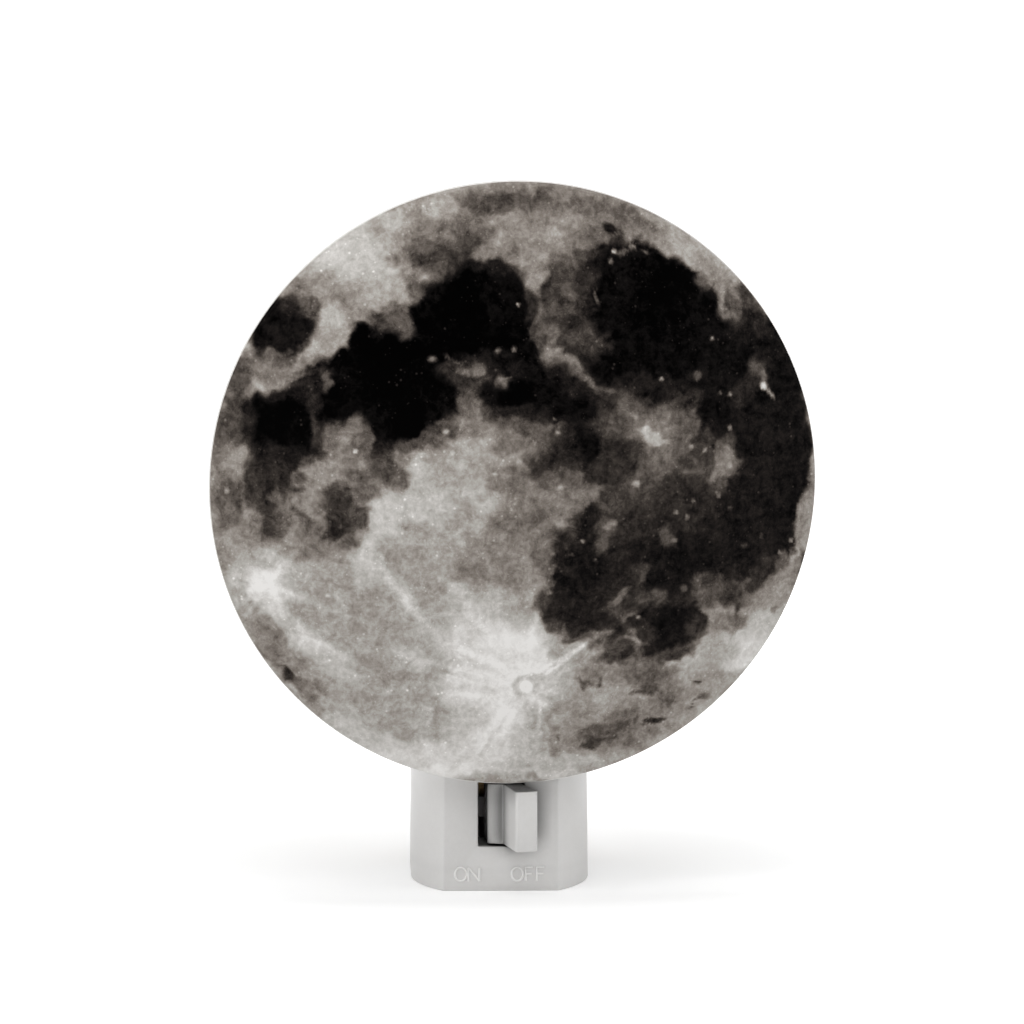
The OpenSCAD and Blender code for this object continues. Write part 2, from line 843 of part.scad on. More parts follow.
// A ring, open at the back, that grips the tower, with an arm and a foot screwed to the shade
module shade_clip() {
    ring_mid_r = (clip_in_r + clip_out_r) / 2;
    lip_r = clip_t / 2 + fit;
    arm_w = 9;
    arm_t = 2.2;
    rib_t = 2;
    arm_y = -ring_mid_r;
    color("whitesmoke")
    at_clip()
        difference() {
            union() {
                translate([0, 0, clip_z])
                    linear_extrude(clip_h)
                        union() {
                            difference() {
                                circle(r = clip_out_r);
                                circle(r = clip_in_r);
                                rotate(180)
                                    wedge(2 * clip_out_r, clip_open);
                            }
                            both_sides()
                                translate([clip_out_r * sin(clip_open), clip_out_r * cos(clip_open)])
                                    circle(r = lip_r);
                        }
                block([-arm_w / 2, foot_y + foot_t / 2, clip_mid_z - arm_t / 2],
                      [arm_w / 2, arm_y, clip_mid_z + arm_t / 2]);
                block([-rib_t / 2, foot_y + foot_t / 2, clip_z], [rib_t / 2, arm_y, clip_z + clip_h]);
                block([-foot_w / 2, foot_y, clip_z], [foot_w / 2, foot_y + foot_t, clip_z + clip_h]);
            }
            translate([0, 0, clip_z - over])
                cylinder(r = clip_in_r, h = clip_h + 2 * over);
            clip_bosses(screw_r + fit, foot_y - over, foot_y + foot_t + over);
        }
}

module clip_screws() {
    color("silver")
    at_clip()
        both_sides()
            translate([clip_screw_x, foot_y + foot_t, clip_mid_z])
                pan_screw(foot_t + clip_screw_len);
}

front_housing();
rear_cover();
cover_screws();
line_blade();
neutral_blade();
blade_rivets();
line_strip();
neutral_strip();
centre_strip();
contact_buttons();
socket_tower();
insulating_washer();
socket_shell();
switch_lever();
moving_contact();
bulb_glass();
bulb_base();
bulb_insulator();
bulb_tip();
bulb_stem();
bulb_leads();
bulb_filament();
moon_shade();
shade_clip();
clip_screws();
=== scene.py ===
"""A plug-in night light with a domed moon shade: the looks of every piece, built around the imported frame."""
import json
import math

import bmesh
import bpy
import numpy as np
from mathutils import Matrix, Vector, noise


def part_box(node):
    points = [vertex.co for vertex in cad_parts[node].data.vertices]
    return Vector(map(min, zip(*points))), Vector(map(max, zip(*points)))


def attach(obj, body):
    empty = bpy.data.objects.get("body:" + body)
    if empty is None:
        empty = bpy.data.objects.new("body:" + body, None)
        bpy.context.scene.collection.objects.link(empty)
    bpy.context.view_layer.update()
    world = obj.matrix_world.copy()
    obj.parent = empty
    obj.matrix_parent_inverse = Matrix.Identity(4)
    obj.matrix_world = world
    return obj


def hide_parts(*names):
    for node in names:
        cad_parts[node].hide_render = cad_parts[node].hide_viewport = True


MM = 0.001
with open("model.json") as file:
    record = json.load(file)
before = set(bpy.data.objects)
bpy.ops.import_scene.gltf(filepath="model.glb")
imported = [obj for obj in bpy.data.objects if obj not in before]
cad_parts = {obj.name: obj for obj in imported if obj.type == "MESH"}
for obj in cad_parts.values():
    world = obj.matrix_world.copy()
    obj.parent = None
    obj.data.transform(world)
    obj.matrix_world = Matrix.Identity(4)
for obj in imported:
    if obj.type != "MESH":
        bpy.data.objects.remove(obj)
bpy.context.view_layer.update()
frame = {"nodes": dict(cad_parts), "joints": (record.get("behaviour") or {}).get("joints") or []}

# ---------- Places taken from the frame ----------

JOINTS = {joint["name"]: joint for joint in frame["joints"]}
SOCKET = Vector(JOINTS["shade_swivel"]["pos_m"])
PANEL_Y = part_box("front_housing")[0].y

# ---------- The shade, as it is driven in the solids ----------

SHADE_TURN = math.radians(5.5)
SHADE_R = 55 * MM
SHADE_T = 2 * MM
SHADE_RISE = 12 * MM
SHADE_Z = (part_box("moon_shade")[0].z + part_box("moon_shade")[1].z) / 2
RIM_Y = -20.5 * MM
RIM_MID_R = SHADE_R - SHADE_T / 2
DOME_R = (RIM_MID_R**2 + SHADE_RISE**2) / (2 * SHADE_RISE)
DOME_DROP = DOME_R - SHADE_RISE


# ---------- Meshes ----------

# Below this radius, in millimetres, a lathed point counts as lying on the axis
AXIS_REACH = 1e-4
# For the rounded copies: vertices this near are welded, faces this flat are merged, edges sharper than this are
# rounded, and edges still sharper than the last are shaded as creases
WELD_REACH = 2e-6
FLAT_ANGLE = math.radians(0.6)
ROUND_ANGLE = math.radians(28)
CREASE_ANGLE = math.radians(40)


def on_circle(radius, angle):
    return radius * math.cos(angle), radius * math.sin(angle)


def add_object(name, data):
    """An object in the scene that shows these data."""
    thing = bpy.data.objects.new(name, data)
    bpy.context.scene.collection.objects.link(thing)
    return thing


def finished_mesh(thing):
    """The mesh that an object shows, with its modifiers or its curve's thickness."""
    return bpy.data.meshes.new_from_object(thing.evaluated_get(bpy.context.evaluated_depsgraph_get()))


def new_piece(name, points, faces, smooth=True):
    """A mesh object from points and faces."""
    mesh = bpy.data.meshes.new(name)
    mesh.from_pydata([tuple(p) for p in points], [], faces)
    mesh.validate()
    if smooth:
        mesh.shade_smooth()
    return add_object(name, mesh)


def settle(piece, body, material, replaces=()):
    """Puts a finished piece on its body and material, in place of the nodes it stands for."""
    if material is not None:
        piece.data.materials.clear()
        piece.data.materials.append(material)
    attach(piece, body)
    if replaces:
        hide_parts(*replaces)
    return piece


def lathe(name, outline, steps=96, form=None):
    """An outline of (radius, height) points in millimetres turned about +Z: out, up the outer side, in and down.

    form gives another radius for a radius, height and angle. A point on the axis becomes one vertex.
    """
    points = []
    rings = []
    for radius, height in outline:
        count = steps if radius > AXIS_REACH else 1
        rings.append(list(range(len(points), len(points) + count)))
        for k in range(count):
            angle = math.tau * k / steps
            reach = form(radius, height, angle) if form and count > 1 else radius
            points.append((*on_circle(reach * MM, angle), height * MM))
    faces = []
    for low, high in zip(rings, rings[1:] + rings[:1]):
        for k in range(steps):
            n = (k + 1) % steps
            if len(low) > 1 and len(high) > 1:
                faces.append((low[k], low[n], high[n], high[k]))
            elif len(high) > 1:
                faces.append((low[0], high[n], high[k]))
            elif len(low) > 1:
                faces.append((low[k], low[n], high[0]))
    return new_piece(name, points, faces)


def rounded_copy(node, width):
    """A copy of a node's mesh whose sharp edges are rounded, as a moulding's or a stamping's are."""
    work = bmesh.new()
    work.from_mesh(frame["nodes"][node].data)
    bmesh.ops.remove_doubles(work, verts=work.verts, dist=WELD_REACH)
    bmesh.ops.dissolve_limit(
        work, angle_limit=FLAT_ANGLE, verts=work.verts, edges=work.edges, use_dissolve_boundaries=False
    )
    mesh = bpy.data.meshes.new(node + "_form")
    work.to_mesh(mesh)
    work.free()
    piece = add_object(node + "_form", mesh)
    bevel = piece.modifiers.new("edges", "BEVEL")
    bevel.limit_method = "ANGLE"
    bevel.angle_limit = ROUND_ANGLE
    bevel.width = width
    bevel.segments = 2
    bevel.use_clamp_overlap = False
    bevel.miter_outer = "MITER_ARC"
    final = finished_mesh(piece)
    piece.modifiers.clear()
    piece.data = final
    final.shade_smooth()
    final.set_sharp_from_angle(angle=CREASE_ANGLE)
    return piece


def keep_inside(piece, node):
    """Holds a rounded copy inside its node's box, where a bevel's corner overshoots it."""
    low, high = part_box(node)
    for vertex in piece.data.vertices:
        vertex.co = Vector(min(max(vertex.co[i], low[i]), high[i]) for i in range(3))


# ---------- Shading ----------

class Shader:
    """The node tree of a new material or world. Each call adds a node and gives back its output."""

    def __init__(self, name, library=bpy.data.materials):
        self.owner = library.new(name)
        self.owner.use_nodes = True
        self.tree = self.owner.node_tree
        self.tree.nodes.clear()

    def add(self, kind, inputs=(), output=0, **settings):
        node = self.tree.nodes.new(kind)
        for name, value in settings.items():
            setattr(node, name, value)
        for key, value in dict(inputs).items():
            if isinstance(value, bpy.types.NodeSocket):
                self.tree.links.new(value, node.inputs[key])
            else:
                node.inputs[key].default_value = value
        return node.outputs[output]

    def place(self):
        """The point in the piece's own frame, in millimetres."""
        point = self.add("ShaderNodeTexCoord", output="Object")
        return self.add("ShaderNodeVectorMath", {0: point, "Scale": 1 / MM}, operation="SCALE")

    def stretch(self, point, scale):
        return self.add("ShaderNodeVectorMath", {0: point, 1: scale}, operation="MULTIPLY")

    def shifted(self, point, distance):
        return self.add("ShaderNodeVectorMath", {0: point, 1: (distance, -distance, distance / 2)}, operation="ADD")

    def math(self, operation, a, b):
        return self.add("ShaderNodeMath", {0: a, 1: b}, operation=operation)

    def times(self, a, b):
        return self.math("MULTIPLY", a, b)

    def noise(self, point, size, detail, roughness, distortion=0.0):
        """Noise whose blobs measure about size millimetres."""
        return self.add(
            "ShaderNodeTexNoise",
            {"Vector": point, "Scale": 1 / size, "Detail": detail, "Roughness": roughness, "Distortion": distortion},
        )

    def cells(self, point, size, output):
        return self.add("ShaderNodeTexVoronoi", {"Vector": point, "Scale": 1 / size}, output)

    def remap(self, value, low, high, to_low=0.0, to_high=1.0, smooth=False):
        return self.add(
            "ShaderNodeMapRange",
            {"Value": value, "From Min": low, "From Max": high, "To Min": to_low, "To Max": to_high},
            interpolation_type="SMOOTHSTEP" if smooth else "LINEAR",
        )

    def mix(self, factor, a, b, kind="MIX"):
        """Colour a turned to colour b by a factor, or by a blend of another kind."""
        return self.add("ShaderNodeMix", {0: factor, 6: a, 7: b}, 2, data_type="RGBA", blend_type=kind)

    def painted_gap_shade(self, point, depth):
        """Painted shade: 1 in the open, darker in a narrow gap more than 8 mm above the floor, where shade falls."""
        shut = self.add("ShaderNodeAmbientOcclusion", {"Distance": 5 * MM}, "AO", samples=8)
        high = self.remap(self.add("ShaderNodeSeparateXYZ", {0: point}, "Z"), 3, 8)
        lost = self.times(self.math("SUBTRACT", 1.0, self.math("POWER", shut, depth)), high)
        return self.math("SUBTRACT", 1.0, lost)

    def centred(self, value, gain):
        """A value from 0 to 1 made to swing about nought."""
        return self.add("ShaderNodeMath", {0: value, 1: gain, 2: -gain / 2}, operation="MULTIPLY_ADD")

    def total(self, *parts, bias=0.0):
        """The sum of values, each with its weight."""
        result = bias
        for value, weight in parts:
            result = self.add("ShaderNodeMath", {0: value, 1: weight, 2: result}, operation="MULTIPLY_ADD")
        return result

    def ramp(self, value, stops):
        """A colour that follows a value through stops of (position, colour)."""
        colour = self.add("ShaderNodeValToRGB", {"Fac": value})
        elements = colour.node.color_ramp.elements
        elements.remove(elements[1])
        elements[0].position = stops[0][0]
        elements[0].color = (*stops[0][1], 1)
        for position, shade in stops[1:]:
            elements.new(position).color = (*shade, 1)
        return colour

    def attribute(self, name):
        return self.add("ShaderNodeAttribute", output="Fac", attribute_name=name)

    def bump(self, height, depth, **normal):
        """A bump of some depth in millimetres, on the plain surface or on another bump given as Normal."""
        return self.add("ShaderNodeBump", {"Height": height, "Distance": depth * MM, **normal})

    def show(self, surface, kind="ShaderNodeOutputMaterial"):
        """Makes a shader the one that is shown, and gives back the material or world."""
        output = self.tree.nodes.new(kind)
        self.tree.links.new(surface, output.inputs["Surface"])
        return self.owner

    def finish(self, **inputs):
        """The surface: a Principled shader with these inputs, whose spaces are written as underscores."""
        spaced = {key.replace("_", " "): value for key, value in inputs.items()}
        return self.show(self.add("ShaderNodeBsdfPrincipled", spaced))


def grey(value, warmth=0.0):
    """A grey in linear light, warmed towards yellow-brown."""
    return (value * (1 + warmth), value, value * (1 - 1.3 * warmth), 1.0)


def moulded_plastic(name, tone, warmth=0.012, roughness=0.42, depth=1.4):
    """Satin plastic: a fine spark-eroded grain, faint flow marks, uneven gloss, and painted shade in narrow gaps, as
    strong as depth sets.
    """
    shader = Shader(name)
    point = shader.place()
    flow = shader.noise(point, 9, 3, 0.6)
    speck = shader.noise(point, 0.7, 4, 0.6)
    shade = shader.math("ADD", shader.times(flow, 0.6), shader.times(speck, 0.4))
    colour = shader.mix(
        shader.remap(shade, 0.3, 0.7), grey(tone * 0.955, warmth * 1.3), grey(tone * 1.03, warmth)
    )
    # Painted shade: the colour is darkened in narrow gaps and recesses, where shade falls
    colour = shader.mix(1.0, colour, shader.painted_gap_shade(point, depth), kind="MULTIPLY")
    waves = shader.bump(shader.noise(point, 4.5, 2, 0.5), 0.02)
    return shader.finish(
        Base_Color=colour, Roughness=shader.remap(speck, 0.3, 0.7, roughness - 0.05, roughness + 0.07),
        Normal=shader.bump(shader.noise(point, 0.09, 2, 0.5), 0.006, Normal=waves), IOR=1.48,
        Subsurface_Weight=0.12, Subsurface_Radius=(1.2, 1.1, 1.0), Subsurface_Scale=0.6 * MM,
    )


def drawn_metal(name, colour, dull, roughness, along):
    """Rolled or drawn metal with fine lines along the axis whose share is small, and dull patches."""
    shader = Shader(name)
    point = shader.place()
    lines = shader.noise(shader.stretch(point, along), 0.05, 3, 0.6)
    patches = shader.noise(point, 1.8, 5, 0.62)
    gloss = shader.math(
        "ADD", shader.remap(patches, 0.3, 0.75, roughness - 0.05, roughness + 0.18),
        shader.remap(lines, 0.3, 0.7, -0.05, 0.05),
    )
    return shader.finish(
        Base_Color=shader.mix(shader.remap(patches, 0.42, 0.72), (*colour, 1), (*dull, 1)), Metallic=1.0,
        Roughness=gloss, Normal=shader.bump(lines, 0.004),
    )


def fibre_board(name):
    """Pressed red fibre with short dark strands."""
    shader = Shader(name)
    strands = shader.noise(shader.stretch(shader.place(), (1, 5, 5)), 0.5, 5, 0.7)
    colour = shader.mix(shader.remap(strands, 0.35, 0.65), (0.16, 0.045, 0.02, 1), (0.33, 0.12, 0.06, 1))
    return shader.finish(Base_Color=colour, Roughness=0.82, Normal=shader.bump(strands, 0.03))


def clear_glass(name):
    """Blown glass with faint waves."""
    shader = Shader(name)
    return shader.finish(
        Base_Color=(0.97, 0.985, 0.98, 1), Roughness=0.0, Transmission_Weight=1.0, IOR=1.5,
        Normal=shader.bump(shader.noise(shader.place(), 6, 1, 0.4), 0.02),
    )


def lumpy(name, size, low, high, dark, light, gloss, depth, metallic=0.0):
    """A cast surface: its lumps turn from dark to light, and from the first roughness in gloss to the second."""
    shader = Shader(name)
    lumps = shader.noise(shader.place(), size, 4, 0.6)
    return shader.finish(
        Base_Color=shader.mix(shader.remap(lumps, low, high), (*dark, 1), (*light, 1)), Metallic=metallic,
        Roughness=shader.remap(lumps, 0.3, 0.7, *gloss), Normal=shader.bump(lumps, depth),
    )


# ---------- The print of the moon ----------
# Places and sizes are in millimetres, to the right and up from the shade's centre as seen from the front. Tones are
# percentages on the eye's scale, from black at 0 to white at 100.

# The print lies a little up and to the left of the places written here, and is a touch smaller
PRINT_SHIFT = (0.145, -0.09)
PRINT_SCALE = 1.0027
LAND_TONE = 60
MOTTLING = 0.17
# How far a dab fades to each side of its outline
LAND_EDGE = 2.5
SEA_EDGE = 1.3
MARK_EDGE = 0.3
# A dab is (right, up, half length, half width, tone, tilt in degrees if any); later dabs cover earlier ones
LAND = [
    # Northern
    (0, 49, 22, 6, 44), (-29, 41, 11, 7, 72, 40), (-20, 47.5, 5, 3, 57, 25), (-21.5, 48.5, 3, 2, 68, 20),
    (-15, 48, 4, 2.6, 47), (-13.5, 51.8, 3.6, 2, 60), (-10, 48, 4, 2, 40), (-6.5, 48, 3, 1.6, 37),
    (-1, 47.5, 4, 2.4, 50), (1, 44.5, 4.4, 3, 53), (8, 45, 4, 2, 53, 10), (12, 47.6, 4.5, 1.5, 52, 10),
    (17, 47.4, 4, 1.4, 42, -5), (-5, 51.6, 6, 1.9, 28, -1), (4, 51.4, 4.5, 1.6, 31, -5), (13, 50.6, 5, 1.4, 36, -4),
    (20.6, 48.6, 3.4, 1.2, 33, -25), (-7.5, 44.8, 3.4, 2, 25), (-9.5, 42, 3.8, 2.2, 17, 20),
    (-15.4, 42.6, 4.2, 2.6, 20, 15), (-17.2, 45.2, 2.8, 1.6, 36), (-14.2, 39.6, 2.6, 1.4, 30), (-3, 42, 4, 1.9, 42),
    (-19.5, 38.5, 2.4, 1.8, 50), (13, 44, 4, 2, 40), (17, 45, 3.4, 1.4, 22),
    # Eastern
    (-36, 36, 3, 3, 50), (-39, 36.5, 2, 2.4, 38, -20), (-33, 36, 3, 2.6, 53), (-29, 34.5, 4, 2.2, 47),
    (-25, 35.6, 4, 2.4, 63), (-34, 30, 3.6, 2.4, 66, 25), (-34.5, 27.5, 3, 2, 58, 40), (-44, 21.6, 4.4, 1.7, 42, 18),
    (-39, 21.4, 2.6, 1.4, 36, 20), (-48, 22.6, 2, 2.2, 32, -20), (-45.6, 25, 1.4, 1.4, 28),
    (-36, 24, 2.4, 1.3, 44, 20), (-26, 30.4, 4.4, 2, 22), (-21.5, 33.4, 2.4, 1, 38), (-51.5, 13, 2.2, 8, 21, -6),
    (-52.5, 6, 1.8, 4, 45), (-50.4, 5.4, 1.9, 2.3, 55), (-51.5, -1.4, 3, 4, 33), (-50.3, -2.6, 1.3, 1.5, 24),
    (-49, -8, 3, 2.6, 53), (-53, -10, 1.4, 5, 48, 10), (-32, 7.2, 4.6, 4, 47), (-33.5, 5, 4, 2, 54, 10),
    (-33, 11.4, 2.2, 1.6, 28), (-37, -1.5, 2.6, 4, 49), (-41.5, -2, 2.6, 3.4, 40), (-42, -6, 2, 1.6, 36),
    (-40, -9.5, 6, 2, 46), (-38.3, -6.5, 1.6, 1.8, 38),
    # Middle
    (-19, 2.6, 5, 4, 73), (-22, -4, 7, 4, 74, -10), (-26, -6, 3, 3, 74), (-27, -12, 3.4, 3, 72),
    (-26, -15, 4, 2.4, 70), (-12, 3, 6, 5, 62), (-8, 9.6, 3.4, 3.4, 64), (-7, 12.4, 2.4, 1.6, 53),
    (-7, -1, 3, 2.6, 68), (-15, -1.4, 3, 3, 71), (-18, -6, 3, 2, 60), (-2.6, 3, 3, 4, 57), (-2.4, 9, 2.6, 2, 47),
    (1, 2, 5, 3, 42), (3, -1, 6, 2.4, 47), (6.6, 3, 3, 1.6, 32), (0, -9, 7, 7, 47), (4, -12, 3, 4, 43),
    (0, -15, 4, 3, 49), (-9, -13.5, 3.4, 3, 50), (-12, -18.4, 3, 2.4, 69), (-20, -12.5, 5, 3.4, 59),
    (-18.5, -17, 3.2, 2.6, 56), (-3, -4.5, 2.2, 1.3, 42), (2.3, -4.4, 2.8, 1.5, 39, -4), (6.5, -3, 3.4, 3, 43),
    (7, -8, 2.4, 1.4, 36), (10.5, -0.8, 2.6, 1.4, 42, 10), (1.5, 12, 5, 2, 32), (-1, 9.5, 3, 1.5, 40),
    (4.5, 9.6, 3, 1.3, 28),
    # Southern
    (-46.5, -17, 4.4, 3.8, 80, -30), (-44.5, -16, 3, 3, 86), (-41.6, -17, 2.4, 3.4, 78), (-43, -12.5, 4.2, 2.2, 68),
    (-44, -21.5, 3.6, 2.2, 76, -35), (-39, -16, 3, 3, 63), (-45, -26, 4.6, 2.2, 50, -45),
    (-41.5, -30, 4, 2.2, 48, -40), (-38, -26.5, 4.4, 2, 69, -35), (-35, -30, 5.4, 2.2, 74, -28),
    (-31, -33.4, 4.6, 1.8, 71, -22), (-44.2, -31, 3.2, 0.8, 40, -52), (-38.6, -36.6, 4, 1.1, 40, -46),
    (-35, -36.6, 2.4, 1, 46, -38), (-31, -36.6, 4, 1.6, 65, -15), (-21, -34.4, 5, 1.6, 55), (-27, -40, 4, 1.8, 64),
    (-27, -46, 7, 3, 72, -30), (-17, -30, 3, 1.6, 70), (-12, -23.6, 5, 3.4, 66), (-8, -21, 5, 2.4, 71),
    (-5, -27.5, 8, 4.5, 77), (-1, -28.5, 5.5, 3.2, 85), (3, -31.5, 3.6, 2.4, 82), (-9, -35.6, 5, 6, 78),
    (-4, -33, 5, 5, 80), (-3, -42, 5.4, 5.4, 79), (-9, -44, 4, 4, 72), (-5, -49, 8, 3.6, 80),
    (-17, -49.6, 9, 3.4, 80), (0, -47, 3, 3, 77), (6, -37.5, 3.4, 3.4, 73), (9, -34, 3, 2, 65, 20),
    (9, -40, 3.4, 3, 60), (4, -49, 4.6, 3, 66), (8, -43.4, 4, 2.4, 56), (6, -51.8, 10, 2, 68),
    (14, -39.5, 6, 2.4, 57), (12.6, -32.6, 3, 1.6, 57), (19, -45, 9, 3.6, 42, 14), (18, -40.6, 4, 1.6, 56, 10),
    (9, -47, 3, 2.4, 52), (16, -34.5, 4, 1.6, 48), (24, -34, 4.5, 3, 37), (27.4, -36.5, 2.6, 2.6, 37, 20),
    (26.5, -39.5, 2.6, 1.4, 42, 20), (31.6, -35, 4, 2.4, 60, 20), (30, -41.6, 5, 2.2, 58, 30),
    (24, -47, 5, 1.6, 46, 25),
    # Western
    (48.4, -19, 4.6, 2.8, 50, 50), (45, -23, 4, 2.6, 50, 45), (42, -29, 7, 3.6, 75, 38),
    (42.6, -32, 4.6, 2.2, 82, 42), (37.8, -26, 3.6, 2.6, 48, 10), (41, -25, 2, 1.6, 42), (35.5, -32, 5, 2.6, 66, 25),
]
